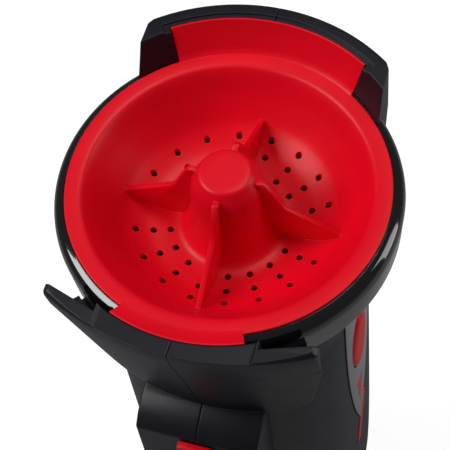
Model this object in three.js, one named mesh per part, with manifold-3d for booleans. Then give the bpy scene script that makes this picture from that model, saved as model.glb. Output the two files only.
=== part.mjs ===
// Handheld cordless vacuum, dust cup taken off, standing on its tail with the suction mouth up.
// Millimetres, +Z up along the motor axis. The origin is the middle of the flat tail.
// -Y is the handle side, +Y the hood side, and the glossy side panels face -X and +X.
import * as THREE from "three";
import { mergeVertices } from "three/addons/utils/BufferGeometryUtils.js";
import Module from "manifold-3d";

const wasm = await Module();
wasm.setup();

// ---- driving dimensions ----
const RIM_Z = 290; // height of the funnel's rim above the tail
const RING_R = 60; // front ring, outside
const RING_HEIGHT = 19;
const BODY_HALF_WIDTH = 44.5; // across X at mid length
const BODY_HALF_DEPTH = 47.5; // across Y at mid length
const WALL = 2.6; // housing wall
const GAP = 0.35; // clearance between touching pieces
const FUNNEL_WALL = 2;
const HUB_TOP = 8.5; // hub's flat top above the rim
const FIN_THICK = 1.8;
const HOLE_R = 1.15;
const HOOD_RISE = 12; // hood above the rim
const HOOD_FLARE = 4.5; // how far its inside leans out over that height
const HOOD_HALF_ANGLE = 39.5;
const HOOD_TAB_HALF_ANGLE = 34.5;
const CHIN_RISE = 2.4;
const CHIN_BULGE_R = 99; // the chin's front is flatter than the ring
const CHIN_HALF_WIDTH = 46;
const CHIN_TAB_HALF_ANGLE = 22;
const CHIN_TAB_REACH = 4.7; // beyond the flange
const SKIRT_DEPTH = 75; // how far hood and chin run back from the rim
const NECK_HALF_WIDTH = 23; // block that carries the handle's front end
const NECK_REACH = 15.5; // its flat face, out from the body
const HANDLE_WIDTH = 36;
const HANDLE_DEPTH = 28;
const FINGER_GAP = 31; // between body and grip
const HANDLE_FOOT_Z = 34; // where the handle's back end meets the body
const BUTTON_HALF_WIDTH = 9; // release buttons, across Y
const BUTTON_HALF_LENGTH = 19;
const BUTTON_DROP = 95; // button centre below the rim
const BUTTON_TRAVEL = 3;
const SLIDER_TRAVEL = 5;
const PANEL_PROUD = 0.5;
const PANEL_THICK = 1.9;
const MOTOR_R = 22;
const SHAFT_R = 1.6;
const FAN_ROOM = 8.9; // from the wall to the impeller's rim, with the cover between them
const IMPELLER_BLADES = 9;
const CELL_R = 9.1;
const CELL_LENGTH = 65;
const CELL_SPREAD = 10; // cell centres from the axis, in X and in Y
const TAIL_HEIGHT = 8;
const PLEATS = 20;
const SLIDER_HALF_WIDTH = 6.5;
const SLIDER_HALF_LENGTH = 9;
const BUMPER_RISE = 4.5; // bumpers at the chin's ends, above the rim
const BUMPER_GAP_DEPTH = 16; // open gap behind each bumper, down from the rim
const VENTS = 5;
const VENT_HALF_WIDTH = 15;
const VENT_HEIGHT = 3;
const VENT_PITCH = 8;
const BOSS_R = 4.6; // screw bosses
const FAR = 900; // beyond every piece

// ---- sizes that follow ----
const MOUTH_R = RING_R - 6; // housing tube inside the ring
const FLANGE_R = RING_R - 4.2; // funnel flange, outside
const BOWL_R = RING_R - 10.6; // funnel bowl at the rim
const COLLAR_R = MOUTH_R - WALL - 0.8; // funnel's plug in the mouth
const FLANGE_TOP = RIM_Z - 0.4;
const FLANGE_UNDER = FLANGE_TOP - FUNNEL_WALL;
const MOUTH_TOP = RIM_Z - 4;
const NECK_TOP = RIM_Z - SKIRT_DEPTH - 2;
const NECK_FACE = -(BODY_HALF_DEPTH + NECK_REACH);
const NECK_BOTTOM = NECK_TOP - 41;
const SLIDER_Z = NECK_TOP - 11; // middle of the power slider at its front end
const LIGHT_Z = NECK_TOP - 33;
const BUTTON_Z = RIM_Z - BUTTON_DROP;
const SLOT_HALF_WIDTH = 2.5 + GAP; // slot that the slider's stem runs in
const SKIRT_Z = RIM_Z - SKIRT_DEPTH;
const POCKET_HALF_LENGTH = BUTTON_HALF_LENGTH + 2.5;
const BUTTON_FACE_X = BODY_HALF_WIDTH + 0.8;
const WALL_INNER_X = BODY_HALF_WIDTH - WALL;
const IMPELLER_R = WALL_INNER_X - FAN_ROOM;
const SPRING_SEAT_X = WALL_INNER_X - 14.5;
const CELLS_Z = TAIL_HEIGHT + 8;
const CELLS_TOP = CELLS_Z + CELL_LENGTH;
const TRAY_HALF = CELL_SPREAD + CELL_R + 2.4;
const FAN_TOP = BUTTON_Z - POCKET_HALF_LENGTH - 1.5;
const FAN_BOTTOM = FAN_TOP - 22;
const MOTOR_FRONT = FAN_BOTTOM - 3;
const MOTOR_REAR = CELLS_TOP + 9;
const FILTER_SEAT_Z = RIM_Z - 68;
const FILTER_FOOT_Z = RIM_Z - 61;
const FILTER_R = WALL_INNER_X - 3.9;
const SCREW_Y = BODY_HALF_DEPTH - 10.5;
const SCREW_SEAT_X = -9; // where a screw head's underside rests
const SCREW_HEAD_R = 2.8;
const SCREW_SHANK_R = 1.4;
const SOCKET_Z = 30; // charging socket, at the back
const SOCKET_R = 5;
const SOCKET_BORE_R = 3.2;

// ---- solids ----
function solid(geometry) {
  const source = geometry.index ? geometry.toNonIndexed() : geometry;
  const bare = new THREE.BufferGeometry();
  bare.setAttribute("position", source.getAttribute("position"));
  const merged = mergeVertices(bare, 1e-4);
  return fromTriangles(merged.attributes.position.array, merged.index.array);
}

// A solid from merged corners, with its faces turned outwards.
function fromTriangles(vertProperties, corners) {
  const faces = [];
  for (let i = 0; i < corners.length; i += 3) {
    const [a, b, c] = corners.subarray(i, i + 3);
    if (a !== b && b !== c && c !== a) faces.push([a, b, c]);
  }
  const build = (list) => {
    const triVerts = new Uint32Array(list.flat());
    return new wasm.Manifold(new wasm.Mesh({ numProp: 3, vertProperties, triVerts }));
  };
  const made = build(faces);
  return made.volume() > 0 ? made : build(faces.map(([a, b, c]) => [a, c, b]));
}

function geometryOf(made) {
  const mesh = made.getMesh();
  const position = new Float32Array(mesh.numVert * 3);
  for (let i = 0; i < mesh.numVert; i++) {
    position.set(mesh.vertProperties.subarray(i * mesh.numProp, i * mesh.numProp + 3), i * 3);
  }
  const geometry = new THREE.BufferGeometry();
  geometry.setAttribute("position", new THREE.BufferAttribute(position, 3));
  geometry.setIndex(new THREE.BufferAttribute(mesh.triVerts, 1));
  geometry.computeVertexNormals();
  return geometry;
}

// A solid turned about Z from a closed profile of [radius, z].
function turned(profile, segments = 40) {
  const points = profile.map(([r, z]) => new THREE.Vector2(r, z));
  if (points[0].x > 0 || points[points.length - 1].x > 0) points.push(points[0].clone());
  return solid(new THREE.LatheGeometry(points, segments).rotateX(Math.PI / 2));
}

function disc(radius, low, high, segments) {
  return turned([[0, low], [radius, low], [radius, high], [0, high]], segments);
}

function washer(inner, outer, low, high, segments) {
  return turned([[inner, low], [outer, low], [outer, high], [inner, high]], segments);
}

function block(low, high) {
  const size = high.map((h, i) => h - low[i]);
  return solid(new THREE.BoxGeometry(...size).translate(...low.map((l, i) => l + size[i] / 2)));
}

function rod(radius, from, to, segments = 12) {
  const start = new THREE.Vector3(...from);
  const along = new THREE.Vector3(...to).sub(start);
  const turn = new THREE.Quaternion();
  turn.setFromUnitVectors(new THREE.Vector3(0, 1, 0), along.clone().normalize());
  const geometry = new THREE.CylinderGeometry(radius, radius, along.length(), segments);
  geometry.applyQuaternion(turn);
  return solid(geometry.translate(...start.addScaledVector(along, 0.5).toArray()));
}

// A closed skin over rings of points, every ring with the same count.
function skinned(rings) {
  const count = rings[0].length;
  const index = [];
  for (let r = 0; r + 1 < rings.length; r++) {
    for (let i = 0; i < count; i++) {
      const [a, b] = [r * count + i, r * count + ((i + 1) % count)];
      index.push(a, b, b + count, a, b + count, a + count);
    }
  }
  const last = (rings.length - 1) * count;
  for (let i = 1; i + 1 < count; i++) {
    index.push(0, i + 1, i, last, last + i, last + i + 1);
  }
  const geometry = new THREE.BufferGeometry();
  geometry.setAttribute("position", new THREE.Float32BufferAttribute(rings.flat(2), 3));
  geometry.setIndex(index);
  return solid(geometry);
}

// Corner points of a superellipse: squareness 2 is an ellipse, higher is boxier.
function squircle(halfA, halfB, squareness, count) {
  const bend = (value) => Math.sign(value) * Math.abs(value) ** (2 / squareness);
  const points = [];
  for (let i = 0; i < count; i++) {
    const t = (2 * Math.PI * (i + 0.5)) / count;
    points.push([halfA * bend(Math.cos(t)), halfB * bend(Math.sin(t))]);
  }
  return points;
}

// Everything within halfAngle degrees of a direction about Z.
function wedge(azimuth, halfAngle) {
  const reach = 2 * RING_R;
  const shape = new THREE.Shape([new THREE.Vector2(0, 0)]);
  for (const share of [-1, 0, 1]) {
    const a = THREE.MathUtils.degToRad(azimuth + halfAngle * share);
    shape.lineTo(reach * Math.cos(a), reach * Math.sin(a));
  }
  const geometry = new THREE.ExtrudeGeometry(shape, { depth: 60, bevelEnabled: false });
  return solid(geometry.translate(0, 0, RIM_Z - 30));
}

// An outline drawn in Y and Z, given a thickness from x = low to x = high.
function sidePrism(shape, low, high, curveSegments = 4) {
  const depth = high - low;
  const geometry = new THREE.ExtrudeGeometry(shape, { depth, bevelEnabled: false, curveSegments });
  const [x, y, z] = [new THREE.Vector3(1, 0, 0), new THREE.Vector3(0, 1, 0), new THREE.Vector3(0, 0, 1)];
  geometry.applyMatrix4(new THREE.Matrix4().makeBasis(y, z, x));
  return solid(geometry.translate(low, 0, 0));
}

function outline(points) {
  return new THREE.Shape(points.map(([a, b]) => new THREE.Vector2(a, b)));
}

// A solid moved, turned or mirrored by a matrix.
function moved(made, matrix) {
  const geometry = geometryOf(made).applyMatrix4(matrix);
  return fromTriangles(geometry.attributes.position.array, geometry.index.array);
}

const mirrored = (made) => moved(made, new THREE.Matrix4().makeScale(-1, 1, 1));
const spun = (made, angle) => moved(made, new THREE.Matrix4().makeRotationZ(angle));
const rightSide = block([GAP / 2, -FAR, -FAR], [FAR, FAR, FAR]);

// ---- main body ----
// [height, half width, half depth, squareness]
const BODY_SECTIONS = [
  [TAIL_HEIGHT + GAP, BODY_HALF_WIDTH - 6.5, BODY_HALF_DEPTH - 7.5, 2.8],
  [TAIL_HEIGHT + 14, BODY_HALF_WIDTH - 2.5, BODY_HALF_DEPTH - 3.5, 3],
  [TAIL_HEIGHT + 52, BODY_HALF_WIDTH, BODY_HALF_DEPTH - 0.5, 3.2],
  [RIM_Z - 75, BODY_HALF_WIDTH, BODY_HALF_DEPTH, 3.2],
  [RIM_Z - 45, BODY_HALF_WIDTH + 1, BODY_HALF_DEPTH + 1.5, 2.8],
  [RIM_Z - RING_HEIGHT - 3, MOUTH_R - 1, MOUTH_R - 0.5, 2.1],
  [MOUTH_TOP, MOUTH_R, MOUTH_R, 2],
];

function bodyLoft(inset, stretch = 0) {
  const last = BODY_SECTIONS.length - 1;
  return skinned(
    BODY_SECTIONS.map(([z, a, b, squareness], i) => {
      const height = z + (i === last ? stretch : 0) - (i === 0 ? stretch : 0);
      return squircle(a - inset, b - inset, squareness, 28).map(([x, y]) => [x, y, height]);
    }),
  );
}

// Half depth of the body at a height.
function bodyDepthAt(z) {
  const next = BODY_SECTIONS.findIndex((section) => section[0] > z);
  const [below, above] = [BODY_SECTIONS[next - 1], BODY_SECTIONS[next]];
  return THREE.MathUtils.mapLinear(z, below[0], above[0], below[2], above[2]);
}

const bodySolid = bodyLoft(0);

// ---- hood and chin ----
// Two tapering shields round the ring. side is 1 for the hood at +Y and -1 for the chin at -Y.
// centre is how far the axis of its front lies beyond the motor axis, on the far side.
const HOOD_R = RING_R + 8.5;
const HOOD_HALF_WIDTH = HOOD_R * Math.sin(THREE.MathUtils.degToRad(HOOD_HALF_ANGLE));
const CHIN_REACH = RING_R + 6.6;
const SHIELD = {
  1: {
    rise: HOOD_RISE,
    top: HOOD_RISE,
    r: HOOD_R,
    centre: 0,
    half: HOOD_HALF_WIDTH,
    tab: HOOD_TAB_HALF_ANGLE,
  },
  "-1": {
    rise: CHIN_RISE,
    top: BUMPER_RISE,
    r: CHIN_BULGE_R,
    centre: CHIN_BULGE_R - CHIN_REACH,
    half: CHIN_HALF_WIDTH,
    tab: CHIN_TAB_HALF_ANGLE,
  },
};
const BUMPER_START_X = (RING_R + 2.5) * Math.sin(THREE.MathUtils.degToRad(CHIN_TAB_HALF_ANGLE + 3));

function shieldCone(side, inset) {
  const { r, centre, top: crest } = SHIELD[side];
  const foot = centre + BODY_HALF_DEPTH + 3.5 - inset;
  const [top, edge] = [RIM_Z + crest, r - inset];
  const profile = [
    [0, SKIRT_Z],
    [foot, SKIRT_Z],
    [edge - 1.5, RIM_Z - 8],
    [edge, top - 2.5],
    [edge - 2, top],
    [0, top],
  ];
  return moved(turned(profile), new THREE.Matrix4().makeTranslation(0, -side * centre, 0));
}

// What the shield covers, seen from its own side. The chin's upper edge rises towards its ends.
function shieldPrism(side, trim) {
  const half = SHIELD[side].half - trim;
  const middleTop = side > 0 ? RIM_Z + HOOD_RISE + 5 : RIM_Z + CHIN_RISE;
  const endTop = side > 0 ? middleTop : RIM_Z + BUMPER_RISE;
  const shape = new THREE.Shape();
  shape.moveTo(BUMPER_START_X, middleTop);
  shape.lineTo(half, endTop);
  shape.lineTo(half, RIM_Z - RING_HEIGHT - 4);
  shape.quadraticCurveTo(half - 1, SKIRT_Z + 5, NECK_HALF_WIDTH, SKIRT_Z - 1);
  shape.lineTo(-NECK_HALF_WIDTH, SKIRT_Z - 1);
  shape.quadraticCurveTo(-half + 1, SKIRT_Z + 5, -half, RIM_Z - RING_HEIGHT - 4);
  shape.lineTo(-half, endTop);
  shape.lineTo(-BUMPER_START_X, middleTop);
  const depth = 2 * RING_R;
  const geometry = new THREE.ExtrudeGeometry(shape, { depth, bevelEnabled: false, curveSegments: 4 });
  return solid(geometry.rotateX(Math.PI / 2).translate(0, side > 0 ? depth : 0, 0));
}

// Red tab that the funnel's flange carries into a shield.
const TAB_WALL = 1.4;

function funnelTab(side) {
  const { rise, tab } = SHIELD[side];
  const top = RIM_Z + rise - GAP;
  const foot = [[FLANGE_R - 1.5, FLANGE_UNDER], [FLANGE_R, FLANGE_UNDER], [FLANGE_R, RIM_Z - 0.6]];
  const upper =
    side > 0
      ? [
          [FLANGE_R + 1.6, RIM_Z - 0.6],
          [FLANGE_R + HOOD_FLARE + TAB_WALL, top],
          [FLANGE_R + HOOD_FLARE, top],
        ]
      : [
          [FLANGE_R + 1.6, RIM_Z - 0.6],
          [FLANGE_R + CHIN_TAB_REACH, top - TAB_WALL],
          [FLANGE_R + CHIN_TAB_REACH, top],
        ];
  return turned([...foot, ...upper, [FLANGE_R - 1.5, FLANGE_TOP]]).intersect(wedge(90 * side, tab));
}

// Space kept free for that tab and for its way out upwards.
function tabRoom(side) {
  const { rise, tab } = SHIELD[side];
  const top = RIM_Z + rise;
  const outer = FLANGE_R + GAP + (side > 0 ? HOOD_FLARE + TAB_WALL : CHIN_TAB_REACH);
  const foot = side > 0 ? FLANGE_R + GAP + 2 : outer;
  const profile = [[0, RIM_Z - 3], [foot, RIM_Z - 3], [outer, top - 1], [outer, top + 5], [0, top + 5]];
  return turned(profile).intersect(wedge(90 * side, tab + 0.4));
}

const ringRoom = turned([
  [MOUTH_R, RIM_Z - RING_HEIGHT - GAP],
  [RING_R + GAP, RIM_Z - RING_HEIGHT - GAP],
  [RING_R + GAP, RIM_Z - 4.8],
  [FLANGE_R + 0.5, RIM_Z - 0.55],
  [FLANGE_R + 0.5, RIM_Z + 1],
  [MOUTH_R, RIM_Z + 1],
]);

function shield(side) {
  const { rise, tab } = SHIELD[side];
  const top = RIM_Z + rise;
  let made = shieldCone(side, 0).intersect(shieldPrism(side, 0));
  // inside face above the ring, and the recessed lip that frames the red tab
  const face = side > 0 ? FLANGE_R + GAP : RING_R + GAP;
  const lean = side > 0 ? HOOD_FLARE : 0.5;
  const lip = FLANGE_R + HOOD_FLARE + 4;
  const mouth = turned([[0, RIM_Z - 4], [face, RIM_Z - 4], [face, RIM_Z], [face + lean, top], [0, top]]);
  made = made.subtract(mouth);
  if (side > 0) made = made.subtract(disc(lip, top - 1, top + 5).intersect(wedge(90, tab + 2.5)));
  made = made.subtract(tabRoom(side));
  // hollow behind the ring
  const hollow = shieldCone(side, 3).intersect(shieldPrism(side, 4)).subtract(bodySolid);
  made = made.subtract(hollow.intersect(block([-FAR, -FAR, SKIRT_Z + 15], [FAR, FAR, RIM_Z - RING_HEIGHT])));
  if (side > 0) return made;
  // each end stands free of the ring as a bumper
  const [near, far] = [CHIN_REACH - 9, CHIN_REACH - 14.3];
  for (const turn of [-1, 1]) {
    const gap = new THREE.Shape();
    gap.moveTo(turn * BUMPER_START_X, -near);
    gap.lineTo(turn * (CHIN_HALF_WIDTH + 1), -far);
    gap.lineTo(turn * (CHIN_HALF_WIDTH + 1), 0);
    gap.lineTo(turn * BUMPER_START_X, 0);
    const geometry = new THREE.ExtrudeGeometry(gap, { depth: 30, bevelEnabled: false });
    made = made.subtract(solid(geometry.translate(0, 0, RIM_Z - BUMPER_GAP_DEPTH)));
  }
  return made;
}

// ---- neck and handle ----
function neck(inset) {
  const points = [
    [-BODY_HALF_DEPTH + 14, NECK_TOP + 9],
    [-BODY_HALF_DEPTH - 4.5 + inset, NECK_TOP + 7 - inset],
    [NECK_FACE + 4 + inset, NECK_TOP + 3.5 - inset],
    [NECK_FACE + inset, NECK_TOP - 0.5 - inset],
    [NECK_FACE + inset, NECK_BOTTOM + 12],
    [-BODY_HALF_DEPTH - 8, NECK_BOTTOM + inset],
    [-BODY_HALF_DEPTH + 14, NECK_BOTTOM + inset],
  ];
  return sidePrism(outline(points), -NECK_HALF_WIDTH + inset, NECK_HALF_WIDTH - inset);
}

const HANDLE_HEAD_Z = NECK_BOTTOM + 3;
const GRIP_Y = BODY_HALF_DEPTH + FINGER_GAP + HANDLE_DEPTH / 2;
// [how far out, as a share of the grip's reach; how far from the handle's head to its foot]
const HANDLE_COURSE = [
  [0.04, 0],
  [0.32, 0.1],
  [0.68, 0.22],
  [0.94, 0.36],
  [1.0, 0.52],
  [0.96, 0.69],
  [0.76, 0.85],
  [0.38, 0.96],
  [-0.18, 1],
];
const handleLine = new THREE.CatmullRomCurve3(
  HANDLE_COURSE.map(([out, down]) => {
    const y = -BODY_HALF_DEPTH - out * (GRIP_Y - BODY_HALF_DEPTH);
    return new THREE.Vector3(0, y, THREE.MathUtils.lerp(HANDLE_HEAD_Z, HANDLE_FOOT_Z, down));
  }),
);

// Rings of an outline of [across, outwards] points carried along part of the handle's line.
function alongHandle(points, from, to, steps) {
  const rings = [];
  for (let i = 0; i <= steps; i++) {
    const share = THREE.MathUtils.lerp(from, to, i / steps);
    const centre = handleLine.getPointAt(share);
    const heading = handleLine.getTangentAt(share);
    rings.push(points.map(([x, out]) => [x, centre.y + heading.z * out, centre.z - heading.y * out]));
  }
  return skinned(rings);
}

function handleLoft(inset) {
  const section = squircle(HANDLE_WIDTH / 2 - inset, HANDLE_DEPTH / 2 - inset, 2.6, 14);
  return alongHandle(section, 0, 1, 13);
}

// Band down the outside of the grip.
const PAD_HALF_WIDTH = HANDLE_WIDTH / 2 - 6;

function padBand(grown) {
  const [half, reach] = [PAD_HALF_WIDTH + grown, HANDLE_DEPTH];
  const section = [[-half, 4], [half, 4], [half, reach], [-half, reach]];
  const trim = grown / 170;
  return alongHandle(section, 0.33 - trim, 0.74 + trim, 7);
}

// ---- housing halves ----
const BODY_SCREWS = [
  [SCREW_Y, TAIL_HEIGHT + 50],
  [SCREW_Y, MOTOR_FRONT - 18],
  [-SCREW_Y, MOTOR_FRONT - 18],
  [-SCREW_Y, TAIL_HEIGHT + 50],
];
const HANDLE_SCREWS = [0.42, 0.66].map((share) => {
  const spot = handleLine.getPointAt(share);
  return [spot.y, spot.z];
});

// A wide way in from -X down to the head's seat, then the shank's own hole.
function screwHole([y, z]) {
  const way = rod(SCREW_HEAD_R + GAP, [-FAR, y, z], [SCREW_SEAT_X - GAP, y, z]);
  return way.add(rod(SCREW_SHANK_R + GAP, [SCREW_SEAT_X - 1, y, z], [9 + GAP, y, z], 8));
}

function panelOutline(grown) {
  const top = RIM_Z - RING_HEIGHT - 4 + grown;
  const side = 16 + grown;
  const shape = new THREE.Shape();
  shape.moveTo(side, top);
  shape.quadraticCurveTo(side + 2, RIM_Z - 84, side - 4, RIM_Z - 122);
  shape.quadraticCurveTo(side - 8, RIM_Z - 150, 0, RIM_Z - 172 - 2 * grown);
  shape.quadraticCurveTo(-side + 8, RIM_Z - 150, -side + 4, RIM_Z - 122);
  shape.quadraticCurveTo(-side - 2, RIM_Z - 84, -side, top);
  return shape;
}

function oval(halfY, halfZ, low, high) {
  const shape = new THREE.Shape();
  shape.absellipse(0, BUTTON_Z, halfY, halfZ, 0, 2 * Math.PI);
  return sidePrism(shape, low, high, 10);
}

// Red dart set in the panel's tail.
function dartOutline(grown) {
  const [top, tip] = [RIM_Z - 131 + grown, RIM_Z - 154 - 2 * grown];
  return outline([[-3.4 - grown, top], [0, tip], [3.4 + grown, top]]);
}

// Red flash that slants past the panel's tip.
function flashOutline(grown) {
  return outline([
    [4.6 - grown, RIM_Z - 159 + grown],
    [9.4 + grown, RIM_Z - 161 + grown],
    [0.6 + grown, RIM_Z - 195 - grown],
    [-4.2 - grown, RIM_Z - 193 - grown],
  ]);
}

const insetSkin = (outer, inner) => bodyLoft(-outer).subtract(bodyLoft(inner));
const sideOnly = (shape) => sidePrism(shape, WALL_INNER_X / 2, FAR / 8);

// Channel behind a release button that holds its spring.
function springChannel() {
  const half = BUTTON_HALF_WIDTH + 3;
  const length = POCKET_HALF_LENGTH;
  const [low, high] = [BUTTON_Z - length, BUTTON_Z + length];
  const outside = block([SPRING_SEAT_X - 2.5, -half - 2, low], [BODY_HALF_WIDTH, half + 2, high]);
  const inside = block([SPRING_SEAT_X, -half, low - 1], [FAR, half, high + 1]);
  return outside.intersect(bodyLoft(1)).subtract(inside);
}

const socketFace = bodyDepthAt(SOCKET_Z) + 0.6;

const bulk = bodySolid.add(shield(1)).add(shield(-1)).add(neck(0)).add(handleLoft(0));
let shells = bulk.subtract(bodyLoft(WALL, 5)).subtract(neck(WALL)).subtract(handleLoft(WALL));
for (const [y, z] of BODY_SCREWS) {
  shells = shells.add(rod(BOSS_R, [-FAR, y, z], [FAR, y, z], 10).intersect(bodyLoft(1)));
}
for (const [y, z] of HANDLE_SCREWS) {
  shells = shells.add(rod(BOSS_R, [-FAR, y, z], [FAR, y, z], 10).intersect(handleLoft(1)));
}
for (const spot of [...BODY_SCREWS, ...HANDLE_SCREWS]) shells = shells.subtract(screwHole(spot));
shells = shells.subtract(ringRoom);
shells = shells.subtract(padBand(GAP).subtract(handleLoft(1 + GAP)));
shells = shells.subtract(
  block(
    [-SLOT_HALF_WIDTH, NECK_FACE - 9, SLIDER_Z - 3 - SLIDER_TRAVEL - GAP],
    [SLOT_HALF_WIDTH, NECK_FACE + 9, SLIDER_Z + 3 + GAP],
  ),
);
shells = shells.subtract(rod(1.8 + GAP, [0, NECK_FACE - 9, LIGHT_Z], [0, NECK_FACE + 9, LIGHT_Z], 10));
shells = shells.subtract(rod(SOCKET_R + GAP, [0, socketFace - 9, SOCKET_Z], [0, socketFace + 9, SOCKET_Z]));

function rightHalf(whole) {
  let half = whole.intersect(rightSide).add(springChannel());
  half = half.subtract(sideOnly(panelOutline(GAP)).subtract(bodyLoft(PANEL_THICK - PANEL_PROUD + GAP)));
  half = half.subtract(sideOnly(flashOutline(GAP)).subtract(bodyLoft(1 + GAP)));
  half = half.subtract(oval(BUTTON_HALF_WIDTH + GAP, BUTTON_HALF_LENGTH + GAP, WALL_INNER_X - 4, FAR));
  for (let i = 0; i < VENTS; i++) {
    const z = TAIL_HEIGHT + 26 + i * VENT_PITCH;
    const slot = block([WALL_INNER_X - 8, -VENT_HALF_WIDTH, z], [FAR, VENT_HALF_WIDTH, z + VENT_HEIGHT]);
    half = half.subtract(slot);
  }
  return half;
}

// ---- scene ----
const plastic = (color, roughness) => new THREE.MeshStandardMaterial({ color, roughness, metalness: 0 });
const metal = (color, roughness) => new THREE.MeshStandardMaterial({ color, roughness, metalness: 1 });
const finishes = {
  matteBlack: plastic(0x26262c, 0.5),
  glossBlack: plastic(0x0b0b0d, 0.08),
  red: plastic(0xd2001c, 0.35),
  rubber: plastic(0x141414, 0.9),
  innerBlack: plastic(0x303034, 0.6),
  lens: plastic(0xe8f0e8, 0.1),
  paper: plastic(0xefece2, 0.95),
  cellWrap: plastic(0x2a6fb0, 0.4),
  board: plastic(0x1f5a35, 0.5),
  steel: metal(0xb9bcc0, 0.3),
  darkSteel: metal(0x55585c, 0.45),
  bronze: metal(0xa9824a, 0.4),
};
const vacuum = new THREE.Group();

function place(name, made, finish) {
  const mesh = new THREE.Mesh(geometryOf(made), finishes[finish].clone());
  mesh.name = name;
  vacuum.add(mesh);
}

// The piece on +X as given, and its mirror image on -X.
function placePair(name, made, finish) {
  place(`${name}_right`, made, finish);
  place(`${name}_left`, mirrored(made), finish);
}

place("housing_right", rightHalf(shells), "matteBlack");
place("housing_left", mirrored(rightHalf(mirrored(shells))), "matteBlack");

// Glossy ring round the mouth.
const ring = turned([
  [MOUTH_R + GAP, RIM_Z - RING_HEIGHT],
  [RING_R - 1.2, RIM_Z - RING_HEIGHT],
  [RING_R - 0.8, RIM_Z - RING_HEIGHT + 0.8],
  [RING_R, RIM_Z - 5],
  [FLANGE_R + GAP, RIM_Z - 1],
  [FLANGE_R + GAP, FLANGE_UNDER - 0.4],
  [MOUTH_R + GAP, FLANGE_UNDER - 0.4],
]);
place("front_ring", ring, "glossBlack");

// Filter funnel: flange, bowl with a finned hub, perforated floor and two tabs.
const bowl = turned(
  [
    [0, RIM_Z + HUB_TOP],
    [8.8, RIM_Z + HUB_TOP],
    [12, RIM_Z + 3],
    [13, RIM_Z - 8],
    [16.5, RIM_Z - 24.4],
    [BOWL_R - 29.4, RIM_Z - 24.5],
    [BOWL_R - 19.4, RIM_Z - 23],
    [BOWL_R - 13.4, RIM_Z - 20],
    [BOWL_R - 9.9, RIM_Z - 16.5],
    [BOWL_R - 5, RIM_Z - 9.6],
    [BOWL_R - 1.6, RIM_Z - 3.6],
    [BOWL_R, FLANGE_TOP],
    [FLANGE_R, FLANGE_TOP],
    [FLANGE_R, FLANGE_UNDER],
    [COLLAR_R, FLANGE_UNDER],
    [COLLAR_R, RIM_Z - 6],
    [BOWL_R - 3.2, RIM_Z - 10.8],
    [BOWL_R - 8.4, RIM_Z - 18.5],
    [BOWL_R - 12.4, RIM_Z - 22],
    [BOWL_R - 18.9, RIM_Z - 25.1],
    [BOWL_R - 29, RIM_Z - 26.6],
    [15, RIM_Z - 26.6],
    [10, RIM_Z + 2],
    [7.4, RIM_Z + HUB_TOP - FUNNEL_WALL],
    [0, RIM_Z + HUB_TOP - FUNNEL_WALL],
  ],
  36,
);
const finShape = outline(
  [
    [9.2, 5.6],
    [12.4, 6.6],
    [14.4, 5.2],
    [17, 0],
    [19.5, -5.5],
    [BOWL_R - 10.2, -17],
    [BOWL_R - 19, -24],
    [BOWL_R - 29.2, -25.4],
    [15.9, -25.4],
    [12, -8],
    [10.9, 2],
  ].map(([r, z]) => [r, z + RIM_Z]),
);
const fin = sidePrism(finShape, -FIN_THICK / 2, FIN_THICK / 2);
let funnel = bowl.add(funnelTab(1)).add(funnelTab(-1));
for (let i = 0; i < 4; i++) funnel = funnel.add(spun(fin, (Math.PI / 2) * i));
// rows of holes 20 degrees apart, left out where they would fall under a fin
for (let row = 0; row < 18; row++) {
  if (row % 9 === 0) continue;
  const a = THREE.MathUtils.degToRad(2 + 20 * row);
  for (const share of [0.445, 0.567, 0.688]) {
    const [x, y] = [share * BOWL_R * Math.cos(a), share * BOWL_R * Math.sin(a)];
    funnel = funnel.subtract(rod(HOLE_R, [x, y, RIM_Z - 32], [x, y, RIM_Z - 15], 6));
  }
}
place("filter_funnel", funnel, "red");
const seal = washer(MOUTH_R - WALL - 0.4, MOUTH_R - 0.3, MOUTH_TOP + GAP, FLANGE_UNDER - GAP);
place("filter_seal", seal, "rubber");

// Pleated filter under the bowl, with its end plate.
const pleats = [];
for (let i = 0; i < 2 * PLEATS; i++) {
  const a = (Math.PI * i) / PLEATS;
  const r = i % 2 ? FILTER_R : FILTER_R - 6;
  pleats.push([r * Math.cos(a), r * Math.sin(a)]);
}
const pleatRings = (inset, heights) =>
  heights.map((z) =>
    pleats.map(([x, y]) => {
      const scale = 1 - inset / Math.hypot(x, y);
      return [x * scale, y * scale, z];
    }),
  );
const filterTop = RIM_Z - 27.4;
const filterFoot = FILTER_FOOT_Z + 4;
const media = skinned(pleatRings(0, [filterFoot, filterTop]));
const mediaHollow = skinned(pleatRings(1.6, [filterFoot - 1, filterTop + 1]));
place("pleated_filter", media.subtract(mediaHollow), "paper");
place("filter_end_plate", washer(6, FILTER_R + 1.2, FILTER_FOOT_Z, filterFoot - GAP, 24), "innerBlack");

// Grid that the filter stands in front of.
let seat = disc(WALL_INNER_X - GAP, FILTER_SEAT_Z, FILTER_SEAT_Z + 3, 24);
for (let i = 0; i < 4; i++) {
  const a = (Math.PI / 2) * i + Math.PI / 4;
  const [x, y] = [21 * Math.cos(a), 21 * Math.sin(a)];
  seat = seat.subtract(rod(12, [x, y, FILTER_SEAT_Z - 1], [x, y, FILTER_SEAT_Z + 4], 10));
}
place("filter_seat", seat, "innerBlack");

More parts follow.
